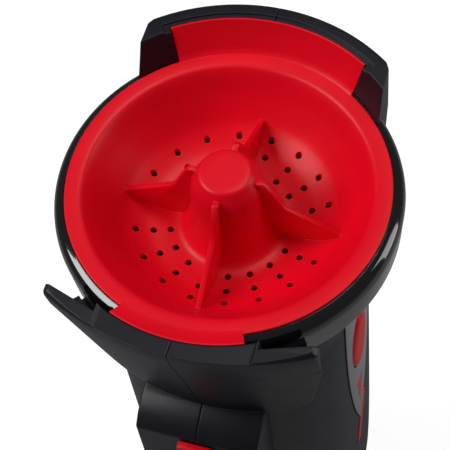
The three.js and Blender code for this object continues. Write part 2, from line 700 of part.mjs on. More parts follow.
// Fan.
const hubTop = FAN_TOP - 6;
const coverFloor = FAN_BOTTOM + 3;
const upright = block([5, -0.7, coverFloor + 1], [IMPELLER_R - 1, 0.7, hubTop]);
const sweep = new THREE.Matrix4().makeRotationZ(THREE.MathUtils.degToRad(25)).setPosition(2, 0, 0);
const blade = moved(upright, sweep);
let impeller = disc(IMPELLER_R, coverFloor, coverFloor + 2, 24).add(disc(6.5, coverFloor, hubTop, 12));
for (let i = 0; i < IMPELLER_BLADES; i++) {
  impeller = impeller.add(spun(blade, (2 * Math.PI * i) / IMPELLER_BLADES));
}
impeller = impeller.intersect(disc(IMPELLER_R, FAN_BOTTOM, FAN_TOP, 24));
impeller = impeller.subtract(disc(SHAFT_R + GAP, FAN_BOTTOM, FAN_TOP, 12));
place("impeller", impeller, "innerBlack");
const coverOuter = IMPELLER_R + 5;
const fanCover = turned(
  [
    [WALL_INNER_X - GAP, FAN_BOTTOM],
    [WALL_INNER_X - GAP, FAN_BOTTOM + 3],
    [coverOuter, FAN_BOTTOM + 3],
    [coverOuter, FAN_TOP - 4],
    [coverOuter - 4, FAN_TOP],
    [14, FAN_TOP],
    [14, FAN_TOP - 2],
    [coverOuter - 5, FAN_TOP - 2],
    [coverOuter - 2, FAN_TOP - 5],
    [coverOuter - 2, FAN_BOTTOM],
  ],
  28,
);
place("fan_cover", fanCover, "innerBlack");

// Motor.
const shaftTop = hubTop + 5;
place("motor_shaft", disc(SHAFT_R, MOTOR_REAR - 5, shaftTop, 12), "steel");
place("shaft_nut", washer(SHAFT_R + GAP, 4, hubTop + GAP, hubTop + 3.2, 6), "steel");
const canWall = 1.6;
const can = turned(
  [
    [MOTOR_R - canWall, MOTOR_REAR],
    [MOTOR_R, MOTOR_REAR],
    [MOTOR_R, MOTOR_FRONT],
    [5 + GAP, MOTOR_FRONT],
    [5 + GAP, MOTOR_FRONT - canWall],
    [MOTOR_R - canWall, MOTOR_FRONT - canWall],
  ],
  24,
);
place("motor_can", can, "steel");
const magnetOuter = MOTOR_R - canWall - GAP;
const magnets = washer(magnetOuter - 3, magnetOuter, MOTOR_REAR + 8, MOTOR_FRONT - 8, 24);
place("motor_magnets", magnets, "darkSteel");
const armatureR = magnetOuter - 3.8;
place("armature", washer(SHAFT_R + GAP, armatureR, MOTOR_REAR + 9, MOTOR_FRONT - 9, 20), "darkSteel");
place("bearing_front", washer(SHAFT_R + GAP, 5, MOTOR_FRONT - 4, MOTOR_FRONT + 1.5, 16), "bronze");
place("bearing_rear", washer(SHAFT_R + GAP, 5, MOTOR_REAR - 4, MOTOR_REAR + 2, 16), "bronze");
place("motor_end_cap", washer(5 + GAP, magnetOuter, MOTOR_REAR - 3, MOTOR_REAR + 4, 24), "innerBlack");
let mount = washer(MOTOR_R + GAP, WALL_INNER_X - GAP, MOTOR_FRONT - 8, MOTOR_FRONT - 4, 24);
for (let i = 0; i < 4; i++) {
  const a = (Math.PI / 2) * i + Math.PI / 4;
  const [x, y] = [33 * Math.cos(a), 33 * Math.sin(a)];
  mount = mount.subtract(rod(6, [x, y, MOTOR_FRONT - 9], [x, y, MOTOR_FRONT - 3], 10));
}
place("motor_mount", mount, "rubber");

// Battery: four cells between two trays.
const cellSpots = [[1, 1], [-1, 1], [-1, -1], [1, -1]].map((spot) => spot.map((s) => s * CELL_SPREAD));
function tray(low, high, seatLow) {
  let made = block([-TRAY_HALF, -TRAY_HALF, low], [TRAY_HALF, TRAY_HALF, high]);
  for (const [x, y] of cellSpots) {
    made = made.subtract(rod(CELL_R + 2 * GAP, [x, y, seatLow], [x, y, seatLow + 6], 12));
  }
  return made;
}
cellSpots.forEach(([x, y], i) => {
  const can = rod(CELL_R, [x, y, CELLS_Z], [x, y, CELLS_TOP - 1], 16);
  const button = rod(3, [x, y, CELLS_TOP - 2], [x, y, CELLS_TOP], 10);
  place(`cell_${i + 1}`, can.add(button), "cellWrap");
});
place("cell_tray_lower", tray(CELLS_Z - 3, CELLS_Z + 4, CELLS_Z - GAP), "innerBlack");
place("cell_tray_upper", tray(CELLS_TOP - 4, CELLS_TOP + 3, CELLS_TOP + GAP - 6), "innerBlack");
const boardY = TRAY_HALF + 1.5;
place("circuit_board", block([-19, boardY, CELLS_Z + 2], [19, boardY + 1.6, CELLS_TOP + 2]), "board");
let socket = rod(SOCKET_R, [0, boardY + 1.6 + GAP, SOCKET_Z], [0, socketFace, SOCKET_Z]);
socket = socket.add(rod(SOCKET_R + 2.5, [0, boardY + 1.6 + GAP, SOCKET_Z], [0, socketFace - 6, SOCKET_Z]));
socket = socket.subtract(rod(SOCKET_BORE_R, [0, socketFace - 9, SOCKET_Z], [0, socketFace + 1, SOCKET_Z]));
place("charge_socket", socket, "innerBlack");

// Power slider, the switch behind it and the charge light.
const foot = NECK_FACE + WALL + GAP;
let slider = block(
  [-SLIDER_HALF_WIDTH, NECK_FACE - 3.2, SLIDER_Z - SLIDER_HALF_LENGTH],
  [SLIDER_HALF_WIDTH, NECK_FACE - GAP, SLIDER_Z + SLIDER_HALF_LENGTH],
);
slider = slider.subtract(block([-FAR, NECK_FACE - 4, SLIDER_Z + 2], [FAR, NECK_FACE - 2, SLIDER_Z + 7]));
slider = slider.add(block([-2.5, NECK_FACE - 1, SLIDER_Z - 3], [2.5, foot + 1, SLIDER_Z + 3]));
slider = slider.add(block([-5, foot, SLIDER_Z - 5], [5, foot + 2, SLIDER_Z + 3]));
place("power_slider", slider, "red");
place("slide_switch", block([-5, foot + 3, SLIDER_Z - 14], [5, foot + 8, SLIDER_Z + 6]), "innerBlack");
place("charge_light", rod(1.8, [0, NECK_FACE - 0.3, LIGHT_Z], [0, foot + 1, LIGHT_Z], 10), "lens");

// Rubber pad let into the outside of the grip.
place("grip_pad", padBand(0).intersect(handleLoft(-0.4)).subtract(handleLoft(1)), "rubber");

// Side panels, darts, flashes and release buttons with their springs.
const skin = insetSkin(PANEL_PROUD, PANEL_THICK - PANEL_PROUD);
let panel = skin.intersect(sideOnly(panelOutline(0)));
panel = panel.subtract(oval(BUTTON_HALF_WIDTH + GAP, BUTTON_HALF_LENGTH + GAP, 0, FAR));
panel = panel.subtract(sideOnly(dartOutline(GAP)));
placePair("side_panel", panel, "glossBlack");
placePair("dart", skin.intersect(sideOnly(dartOutline(0))), "red");
placePair("flash", insetSkin(0.3, 1).intersect(sideOnly(flashOutline(0))), "red");
const flangeX = WALL_INNER_X - GAP - 0.3;
let button = oval(BUTTON_HALF_WIDTH, BUTTON_HALF_LENGTH, flangeX - 1, BUTTON_FACE_X);
const crown = [BUTTON_FACE_X - 1, BUTTON_FACE_X + 0.8];
button = button.add(oval(BUTTON_HALF_WIDTH - 1.2, BUTTON_HALF_LENGTH - 1.2, ...crown));
button = button.add(oval(BUTTON_HALF_WIDTH + 1.8, BUTTON_HALF_LENGTH + 1.8, flangeX - 2.4, flangeX));
placePair("release_button", button, "red");

// A coil spring lying along X.
class Coil extends THREE.Curve {
  constructor(radius, from, to, turns) {
    super();
    Object.assign(this, { radius, from, to, turns });
  }
  getPoint(t) {
    const a = 2 * Math.PI * this.turns * t;
    const [y, z] = [this.radius * Math.cos(a), this.radius * Math.sin(a)];
    return new THREE.Vector3(THREE.MathUtils.lerp(this.from, this.to, t), y, BUTTON_Z + z);
  }
}
const wireR = 0.5;
const coil = new Coil(4, SPRING_SEAT_X + GAP + wireR, flangeX - 2.4 - GAP - wireR, 4);
const wire = new THREE.Shape();
wire.absarc(0, 0, wireR, 0, 2 * Math.PI);
const spring = solid(new THREE.ExtrudeGeometry(wire, { steps: 32, extrudePath: coil, curveSegments: 2 }));
placePair("button_spring", spring, "steel");

// Housing screws.
[...BODY_SCREWS, ...HANDLE_SCREWS].forEach(([y, z], i) => {
  const head = rod(SCREW_HEAD_R, [SCREW_SEAT_X - GAP - 2.4, y, z], [SCREW_SEAT_X - GAP, y, z]);
  const screw = head.add(rod(SCREW_SHANK_R, [SCREW_SEAT_X - 1, y, z], [9, y, z], 8));
  place(`housing_screw_${i + 1}`, screw, "steel");
});

// Tail cap with a plug into the housing, and the rubber pad it stands on.
const tailSection = (z, inset) => {
  const [, a, b, squareness] = BODY_SECTIONS[0];
  return squircle(a - inset, b - inset, squareness, 28).map(([x, y]) => [x, y, z]);
};
const padTop = 2;
const capFoot = padTop + GAP;
const cap = skinned([tailSection(capFoot, 5), tailSection(capFoot + 2, 1.6), tailSection(TAIL_HEIGHT, 0)]);
const plug = skinned([tailSection(TAIL_HEIGHT - 1, WALL + 1), tailSection(TAIL_HEIGHT + 3, WALL + 1)]);
place("tail_cap", cap.add(plug), "matteBlack");
place("base_pad", skinned([tailSection(0, 8), tailSection(padTop, 7)]), "rubber");

export default vacuum;
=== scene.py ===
import math

import bmesh
import bpy
from mathutils import Matrix, Vector


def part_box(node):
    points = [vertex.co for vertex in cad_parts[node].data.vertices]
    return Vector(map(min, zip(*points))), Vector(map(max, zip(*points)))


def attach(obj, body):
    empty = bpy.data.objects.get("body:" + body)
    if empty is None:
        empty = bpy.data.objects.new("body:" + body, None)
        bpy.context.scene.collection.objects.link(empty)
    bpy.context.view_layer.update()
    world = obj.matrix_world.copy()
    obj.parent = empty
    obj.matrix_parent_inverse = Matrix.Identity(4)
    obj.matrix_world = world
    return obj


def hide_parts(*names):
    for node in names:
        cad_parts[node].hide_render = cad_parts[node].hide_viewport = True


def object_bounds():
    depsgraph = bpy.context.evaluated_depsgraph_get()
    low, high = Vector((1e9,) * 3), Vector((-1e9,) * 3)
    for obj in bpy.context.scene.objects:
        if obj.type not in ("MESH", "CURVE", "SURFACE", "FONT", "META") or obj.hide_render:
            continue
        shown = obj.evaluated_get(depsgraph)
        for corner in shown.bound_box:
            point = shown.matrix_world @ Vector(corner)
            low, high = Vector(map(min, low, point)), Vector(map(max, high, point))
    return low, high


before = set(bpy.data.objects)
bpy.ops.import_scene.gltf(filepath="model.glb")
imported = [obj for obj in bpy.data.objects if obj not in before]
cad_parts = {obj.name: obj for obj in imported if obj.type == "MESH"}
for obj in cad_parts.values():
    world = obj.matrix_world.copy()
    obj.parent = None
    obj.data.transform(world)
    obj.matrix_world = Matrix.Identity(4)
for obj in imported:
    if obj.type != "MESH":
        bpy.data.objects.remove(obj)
cad_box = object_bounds()
bpy.ops.object.select_all(action="DESELECT")

# ---- Housing halves ----
# The shell of the vacuum: a straight body that widens to the round mouth, a tall hood and a low
# chin that grip the dust cup, a boxy neck and a loop handle. Two halves moulded in satin charcoal
# ABS with a fine spark texture, screwed together from the left along the middle plane.
mm = 0.001
WALL = 2.6 * mm
CLEARANCE = 0.35 * mm
ring_low, ring_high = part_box("front_ring")
half_low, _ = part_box("housing_right")
neck_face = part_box("power_slider")[0].y + 3.2 * mm
rim_z = ring_high.z + 1 * mm
ring_r = ring_high.x
tail_z = half_low.z
mouth_r = ring_r - 6 * mm
flange_r = ring_r - 4.2 * mm
body_half_depth = -neck_face - 15.5 * mm
side_wall_x = 44.5 * mm


def edit(piece):
    bpy.ops.object.select_all(action="DESELECT")
    piece.select_set(True)
    bpy.context.view_layer.objects.active = piece
    bpy.ops.object.mode_set(mode="EDIT")
    bpy.ops.mesh.select_all(action="SELECT")


def close_edit():
    bpy.ops.mesh.select_all(action="SELECT")
    bpy.ops.mesh.remove_doubles(threshold=0.001 * mm)
    bpy.ops.mesh.delete_loose()
    bpy.ops.mesh.select_all(action="SELECT")
    bpy.ops.mesh.normals_make_consistent(inside=False)
    bpy.ops.object.mode_set(mode="OBJECT")
    return bpy.context.object


def draw(name, corners):
    """A flat face with these corners, left open in edit mode."""
    bpy.ops.object.select_all(action="DESELECT")
    bpy.ops.mesh.primitive_circle_add(vertices=len(corners), fill_type="NGON", enter_editmode=True)
    piece = bpy.context.object
    piece.name = name
    mesh = bmesh.from_edit_mesh(piece.data)
    for vertex, corner in zip(mesh.verts, corners):
        vertex.co = corner
    bmesh.update_edit_mesh(piece.data)
    return piece


def slab(name, corners, reach):
    """A flat outline given a thickness."""
    draw(name, corners)
    bpy.ops.mesh.extrude_region_move(TRANSFORM_OT_translate={"value": reach})
    return close_edit()


def turned(name, profile, middle=0, half=180, steps=144):
    """A profile of (radius, height) spun about the motor axis, all round or over part of it."""
    start = math.radians(middle + half)
    draw(name, [(r * math.cos(start), r * math.sin(start), z) for r, z in profile])
    if half == 180:
        bpy.ops.mesh.delete(type="ONLY_FACE")
        bpy.ops.mesh.select_all(action="SELECT")
    bpy.ops.mesh.spin(steps=steps, angle=math.radians(2 * half), center=(0, 0, 0), axis=(0, 0, 1))
    return close_edit()


def lofted(name, rings):
    """An outline extruded from ring to ring, with each corner moved to its own place."""
    piece = draw(name, rings[0])
    mesh = bmesh.from_edit_mesh(piece.data)
    corner = mesh.verts.layers.int.new("corner")
    for i, vertex in enumerate(mesh.verts):
        vertex[corner] = i
    bmesh.update_edit_mesh(piece.data)
    for ring in rings[1:]:
        bpy.ops.mesh.extrude_region_move()
        mesh = bmesh.from_edit_mesh(piece.data)
        corner = mesh.verts.layers.int["corner"]
        for vertex in mesh.verts:
            if vertex.select:
                vertex.co = ring[vertex[corner]]
        bmesh.update_edit_mesh(piece.data)
    close_edit()
    piece.data.attributes.remove(piece.data.attributes["corner"])
    return piece


def rod(name, radius, start, end, sides=32):
    """A round bar from one point to another."""
    along = Vector(end) - Vector(start)
    bpy.ops.object.select_all(action="DESELECT")
    bpy.ops.mesh.primitive_cylinder_add(
        vertices=sides,
        radius=radius,
        depth=along.length,
        location=(Vector(start) + Vector(end)) / 2,
        rotation=along.to_track_quat("Z", "Y").to_euler(),
    )
    bpy.ops.object.transform_apply(location=True, rotation=True, scale=True)
    bpy.context.object.name = name
    return bpy.context.object


def block(name, low, high):
    """A box between two corners."""
    floor = [(low[0], low[1]), (high[0], low[1]), (high[0], high[1]), (low[0], high[1])]
    return slab(name, [(x, y, low[2]) for x, y in floor], (0, 0, high[2] - low[2]))


def apply(piece, modifier):
    bpy.ops.object.select_all(action="DESELECT")
    piece.select_set(True)
    bpy.context.view_layer.objects.active = piece
    bpy.ops.object.modifier_apply(modifier=modifier.name)


def combine(piece, tool, operation):
    step = piece.modifiers.new("combine", "BOOLEAN")
    step.operation = operation
    step.solver = "EXACT"
    step.object = tool
    apply(piece, step)
    bpy.data.meshes.remove(tool.data)
    return piece


def add(piece, *tools):
    for tool in tools:
        combine(piece, tool, "UNION")
    return piece


def cut(piece, *tools):
    for tool in tools:
        combine(piece, tool, "DIFFERENCE")
    return piece


def keep(piece, *tools):
    for tool in tools:
        combine(piece, tool, "INTERSECT")
    return piece


def merge_slivers(piece):
    edit(piece)
    bpy.ops.mesh.remove_doubles(threshold=0.002 * mm)
    bpy.ops.object.mode_set(mode="OBJECT")


def copy_of(piece):
    twin = piece.copy()
    twin.data = piece.data.copy()
    bpy.context.scene.collection.objects.link(twin)
    return twin


def mirror_of(piece):
    """The same piece on the other side of the middle plane."""
    twin = copy_of(piece)
    edit(twin)
    bpy.ops.transform.mirror(constraint_axis=(True, False, False), center_override=(0, 0, 0))
    return close_edit()


def soften(piece, width, segments=3, angle=35):
    step = piece.modifiers.new("soften", "BEVEL")
    step.width = width
    step.segments = segments
    step.angle_limit = math.radians(angle)
    apply(piece, step)
    return piece


def arc(centre, radius, start, end, steps=6):
    """Points of (a, b) round part of a circle, in degrees."""
    points = []
    for i in range(steps + 1):
        turn = math.radians(start + (end - start) * i / steps)
        points.append((centre[0] + radius * math.cos(turn), centre[1] + radius * math.sin(turn)))
    return points


def through(points, steps):
    """A smooth line through points, each of any length."""
    ends = [points[0], *points, points[-1]]
    line = []
    for i in range(len(points) - 1):
        p0, p1, p2, p3 = [Vector(p) for p in ends[i : i + 4]]
        for k in range(steps):
            t = k / steps
            line.append(
                0.5 * (2 * p1 + (p2 - p0) * t + (2 * p0 - 5 * p1 + 4 * p2 - p3) * t**2
                       + (3 * p1 - p0 - 3 * p2 + p3) * t**3)
            )
    line.append(Vector(points[-1]))
    return line


def superellipse(half_a, half_b, squareness, count):
    """Corners of an outline between an ellipse, at 2, and a box."""
    corners = []
    for i in range(count):
        turn = 2 * math.pi * (i + 0.5) / count
        a, b = math.cos(turn), math.sin(turn)
        corners.append((math.copysign(half_a * abs(a) ** (2 / squareness), a),
                        math.copysign(half_b * abs(b) ** (2 / squareness), b)))
    return corners


# height, half width, half depth and squareness up the body
BODY = through(
    [
        (tail_z, side_wall_x - 6.5 * mm, body_half_depth - 7.5 * mm, 2.8),
        (tail_z + 13.65 * mm, side_wall_x - 2.5 * mm, body_half_depth - 3.5 * mm, 3),
        (tail_z + 51.65 * mm, side_wall_x, body_half_depth - 0.5 * mm, 3.2),
        (rim_z - 75 * mm, side_wall_x, body_half_depth, 3.2),
        (rim_z - 45 * mm, side_wall_x + 1 * mm, body_half_depth + 1.5 * mm, 2.8),
        (rim_z - 22 * mm, mouth_r - 1 * mm, mouth_r - 0.5 * mm, 2.1),
        (rim_z - 4 * mm, mouth_r, mouth_r, 2),
    ],
    5,
)


def body_loft(name, inset, stretch=0):
    rings = []
    for i, (z, half_x, half_y, squareness) in enumerate(BODY):
        height = z + (stretch if i == len(BODY) - 1 else 0) - (stretch if i == 0 else 0)
        corners = superellipse(half_x - inset, half_y - inset, squareness, 96)
        rings.append([(x, y, height) for x, y in corners])
    return lofted(name, rings)


# the two shields: which side, rise above the rim, front's radius in plan and how far that lies past the
# motor axis, half width, half angle of the red tab
CHIN_R = 99 * mm
HOOD = (1, 12 * mm, ring_r + 8.5 * mm, 0, 43.5 * mm, 34.5)
CHIN = (-1, 2.4 * mm, CHIN_R, CHIN_R - ring_r - 6.6 * mm, 46 * mm, 22)
TAB_LEAN = {1: 4.5 * mm, -1: 4.7 * mm}
BUMPER_RISE = 4.5 * mm


def shield_cone(name, shield):
    side, rise, front_r, centre, _, _ = shield
    foot = centre + body_half_depth + 3.5 * mm
    top = rim_z + (rise if side > 0 else BUMPER_RISE + 0.3 * mm)
    rounding = 1.4 * mm if side > 0 else 2.6 * mm
    core = centre + 30 * mm
    profile = [(core, rim_z - 71 * mm), (foot, rim_z - 71 * mm), (front_r - 1.5 * mm, rim_z - 8 * mm)]
    profile += arc((front_r - rounding, top - rounding), rounding, 0, 90)
    profile.append((core, top))
    cone = turned(name, profile, 90 * side, 60 if side > 0 else 38, 96)
    edit(cone)
    bpy.ops.transform.translate(value=(0, -side * centre, 0))
    close_edit()
    return cone


def shield_front(name, shield):
    """What a shield covers, seen from its own side, narrowing towards the neck."""
    side, rise, _, _, half, _ = shield
    foot = 24.2 * mm
    bottom = rim_z - 72 * mm
    right = [(half, rim_z + 20 * mm)]
    if side < 0:
        right = [(26 * mm, rim_z + rise), (27 * mm, rim_z + rise + 1 * mm)]
        right += [(half - 1.6 * mm, rim_z + BUMPER_RISE), (half, rim_z + 3 * mm)]
    for i in range(13):
        t = i / 12
        x = (1 - t) ** 2 * half + 2 * t * (1 - t) * (half - 1 * mm) + t**2 * foot
        z = (1 - t) ** 2 * (rim_z - 23 * mm) + 2 * t * (1 - t) * (rim_z - 70 * mm) + t**2 * bottom
        right.append((x, z))
    outline = right + [(-x, z) for x, z in reversed(right)]
    return slab(name, [(x, 0, z) for x, z in outline], (0, side * 2 * ring_r, 0))


def shield_plan(name, shield):
    """Its outline seen from above, with the outer corners taken off."""
    side, _, front_r, centre, half, _ = shield
    deep = math.sqrt(front_r**2 - half**2) - centre
    corner = 2.2 * mm if side > 0 else 0.8 * mm
    slope = [(half, 0)] if side > 0 else [(36 * mm, 0), (36 * mm, 40 * mm), (half, deep - 4.4 * mm)]
    slope += [(half, deep - corner), (half - 1.1 * corner, deep + 1.2 * corner)]
    slope.append((half - 14 * mm, 2 * ring_r))
    outline = slope + [(-x, y) for x, y in reversed(slope)]
    return slab(name, [(x, side * y, 0) for x, y in outline], (0, 0, rim_z + 30 * mm))


def tab_room(name, shield):
    side, rise, _, _, _, tab_angle = shield
    top = rim_z + rise
    edge = flange_r + CLEARANCE + TAB_LEAN[side] + (2 * mm if side > 0 else 0)
    foot = flange_r + CLEARANCE + 2 * mm if side > 0 else edge
    profile = [
        (mm, rim_z - 3 * mm),
        (foot, rim_z - 3 * mm),
        (edge, top - 1 * mm),
        (edge, top + 5 * mm),
        (mm, top + 5 * mm),
    ]
    return turned(name, profile, 90 * side, tab_angle + 0.4, 64)


def made_shield(shield):
    side, rise, _, _, _, tab_angle = shield
    top = rim_z + rise
    piece = shield_cone("shield", shield)
    keep(piece, shield_front("front", shield), shield_plan("plan", shield))
    face = flange_r + CLEARANCE if side > 0 else ring_r + 0.5 * mm
    lean = 4.5 * mm if side > 0 else 0.5 * mm
    under = rim_z - (4.3 * mm if side > 0 else 6 * mm)
    profile = [
        (mm, under),
        (face, under),
        (face, rim_z),
        (face + lean, top),
        (face + lean, top + 5 * mm),
        (mm, top + 5 * mm),
    ]
    cut(piece, turned("face", profile, 90 * side, 65, 104))
    if side > 0:
        lip = flange_r + TAB_LEAN[side] + 3.6 * mm
        step = top - 0.8 * mm
        profile = [(mm, step), (lip, step), (lip + 0.3 * mm, top + 5 * mm), (mm, top + 5 * mm)]
        cut(piece, turned("lip", profile, 90 * side, tab_angle + 2.6, 64))
    cut(piece, tab_room("tab_room", shield))
    return piece


hood = made_shield(HOOD)
chin = made_shield(CHIN)
# the chin's two ends stand free of the ring as bumpers, with a deep gap behind them
for turn in (-1, 1):
    gap = [(27.3 * mm, -57.6 * mm), (62 * mm, -47.2 * mm), (62 * mm, -4 * mm), (27.3 * mm, -4 * mm)]
    cut(chin, slab("gap", [(turn * x, y, rim_z - 16 * mm) for x, y in gap], (0, 0, 30 * mm)))

# the neck, whose front slopes back to a flat face for the power slider
neck_top = rim_z - 77 * mm
neck_foot = neck_top - 41 * mm


def neck(name, inset):
    side_view = [
        (-body_half_depth + 14 * mm, neck_top + 9 * mm),
        (-body_half_depth - 4.5 * mm + inset, neck_top + 7 * mm - inset),
        (neck_face + 4 * mm + inset, neck_top + 3.5 * mm - inset),
        (neck_face + inset, neck_top - 0.5 * mm - inset),
        (neck_face + inset, neck_foot + 12 * mm),
        (-body_half_depth - 8 * mm, neck_foot + inset),
        (-body_half_depth + 14 * mm, neck_foot + inset),
    ]
    half = 23 * mm - inset
    piece = slab(name, [(-half, y, z) for y, z in side_view], (2 * half, 0, 0))
    return soften(piece, 1.1 * mm, 3)


# the handle, a loop of one oval section
GRIP_REACH = 45 * mm
HANDLE_HEAD = neck_foot + 3 * mm
HANDLE_FOOT = tail_z + 25.65 * mm
HANDLE_LENGTH = HANDLE_FOOT - HANDLE_HEAD
course = [(0.04, 0), (0.32, 0.1), (0.68, 0.22), (0.94, 0.36), (1, 0.52)]
course += [(0.96, 0.69), (0.76, 0.85), (0.38, 0.96), (-0.18, 1)]
handle_line = through(
    [(0, -body_half_depth - out * GRIP_REACH, HANDLE_HEAD + HANDLE_LENGTH * down) for out, down in course],
    6,
)


def along_handle(name, section, first, last):
    """A section of (across, outwards) carried along part of the handle's line."""
    rings = []
    for i in range(first, last + 1):
        ahead = handle_line[min(i + 1, len(handle_line) - 1)]
        behind = handle_line[max(i - 1, 0)]
        heading = (ahead - behind).normalized()
        centre = handle_line[i]
        rings.append([(x, centre.y + heading.z * out, centre.z - heading.y * out) for x, out in section])
    return lofted(name, rings)


def handle(name, inset):
    section = superellipse(18 * mm - inset, 14 * mm - inset, 2.6, 48)
    return along_handle(name, section, 0, len(handle_line) - 1)


def grip_band(name, grown):
    half = 12 * mm + grown
    section = [(-half, 4 * mm), (half, 4 * mm), (half, 28 * mm), (-half, 28 * mm)]
    return along_handle(name, section, 15, 35)


def panel_outline(grown):
    """The glossy side panel from the side: wide under the ring, running out to a point."""
    top = rim_z - 23 * mm + grown
    side = 16 * mm + grown
    first = [(side, top), (side + 2 * mm, rim_z - 84 * mm), (side - 4 * mm, rim_z - 122 * mm)]
    second = [first[2], (side - 8 * mm, rim_z - 150 * mm), (0, rim_z - 172 * mm - 2 * grown)]
    edge = []
    for start, bend, end in (first, second):
        for i in range(12):
            t = i / 12
            shares = ((1 - t) ** 2, 2 * t * (1 - t), t * t)
            edge.append(tuple(shares[0] * a + shares[1] * b + shares[2] * c for a, b, c in zip(start, bend, end)))
    tip = second[2]
    return [*edge, tip] + [(-y, z) for y, z in reversed(edge)]


def flash_outline(grown):
    return [
        (4.6 * mm - grown, rim_z - 159 * mm + grown),
        (9.4 * mm + grown, rim_z - 161 * mm + grown),
        (0.6 * mm + grown, rim_z - 195 * mm - grown),
        (-4.2 * mm - grown, rim_z - 193 * mm - grown),
    ]


def dart_outline(grown):
    top = rim_z - 131 * mm + grown
    return [(-3.4 * mm - grown, top), (0, rim_z - 154 * mm - 2 * grown), (3.4 * mm + grown, top)]


def from_side(name, outline, low=20 * mm, high=70 * mm):
    """An outline of (y, z) pushed through the right-hand wall."""
    return slab(name, [(low, y, z) for y, z in outline], (high - low, 0, 0))


button_low, button_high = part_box("release_button_right")
button_z = (button_low.z + button_high.z) / 2
BUTTON_HALF_Y = 9 * mm
BUTTON_HALF_Z = 19 * mm


def oval(half_y, half_z, count=64):
    turns = [2 * math.pi * i / count for i in range(count)]
    return [(half_y * math.cos(t), button_z + half_z * math.sin(t)) for t in turns]


shell = body_loft("shell", 0)
add(shell, hood, chin, neck("neck", 0), handle("handle", 0))
merge_slivers(shell)
cut(shell, body_loft("hollow", WALL, 5 * mm), neck("neck_hollow", WALL), handle("handle_hollow", WALL))

# room for the glossy ring and the funnel's flange
room_inner = mouth_r + 0.12 * mm
room = [
    (room_inner, rim_z - 19.35 * mm),
    (ring_r + CLEARANCE, rim_z - 19.35 * mm),
    (ring_r + CLEARANCE, rim_z - 4.8 * mm),
    (flange_r, rim_z - 0.3 * mm),
    (room_inner, rim_z - 0.3 * mm),
]
cut(shell, turned("ring_room", room))
merge_slivers(shell)

# recess for the grip pad, the slider's slot, and the holes for the light and the charging socket
pad_room = grip_band("pad_room", CLEARANCE)
cut(shell, cut(pad_room, handle("handle_core", 1 * mm + CLEARANCE)))
slider_low, slider_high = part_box("power_slider")
light_low, light_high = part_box("charge_light")
light_z = (light_low.z + light_high.z) / 2
socket_low, socket_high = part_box("charge_socket")
socket_y = socket_high.y
socket_z = (socket_low.z + socket_high.z) / 2
slot_low = (-2.85 * mm, neck_face - 9 * mm, slider_low.z + 0.65 * mm)
slot_high = (2.85 * mm, neck_face + 9 * mm, slider_low.z + 12.35 * mm)
cut(
    shell,
    block("slider_slot", slot_low, slot_high),
    rod("light_hole", 2.15 * mm, (0, neck_face - 9 * mm, light_z), (0, neck_face + 9 * mm, light_z)),
    rod("socket_hole", 5.35 * mm, (0, socket_y - 9 * mm, socket_z), (0, socket_y + 9 * mm, socket_z)),
)

# screw tunnels, sunk from the left
for i in range(1, 7):
    screw_low, screw_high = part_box(f"housing_screw_{i}")
    y, z = (screw_low.y + screw_high.y) / 2, (screw_low.z + screw_high.z) / 2
    cut(shell, rod("tunnel", 3.15 * mm, (-80 * mm, y, z), (screw_low.x, y, z)))

# side panels' recesses, release button holes, flashes and vents, on both sides
VENTS = 5
for side in (1, -1):
    panel_room = from_side("panel_room", panel_outline(CLEARANCE))
    flash_room = from_side("flash_room", flash_outline(CLEARANCE))
    cut(panel_room, body_loft("panel_floor", 1.75 * mm, 2 * mm))
    cut(flash_room, body_loft("flash_floor", 1.35 * mm, 2 * mm))
    tools = [panel_room, flash_room]
    hole = oval(BUTTON_HALF_Y + CLEARANCE, BUTTON_HALF_Z + CLEARANCE)
    tools.append(from_side("button_hole", hole, 30 * mm))
    for i in range(VENTS):
        z = tail_z + 25.65 * mm + i * 8 * mm
        slot = arc((13.5 * mm, z + 1.5 * mm), 1.5 * mm, -90, 90)
        slot += arc((-13.5 * mm, z + 1.5 * mm), 1.5 * mm, 90, 270)
        tools.append(from_side("vent", slot, 34 * mm))
    for tool in tools:
        if side < 0:
            twin = mirror_of(tool)
            bpy.data.meshes.remove(tool.data)
            tool = twin
        cut(shell, tool)


def shader_group(name, inputs, outputs):
    """An empty shader node group with named sockets."""
    group = bpy.data.node_groups.new(name, "ShaderNodeTree")
    for label, kind, value in inputs:
        socket = group.interface.new_socket(label, in_out="INPUT", socket_type=kind)
        socket.default_value = value
    for label, kind in outputs:
        group.interface.new_socket(label, in_out="OUTPUT", socket_type=kind)
    return group


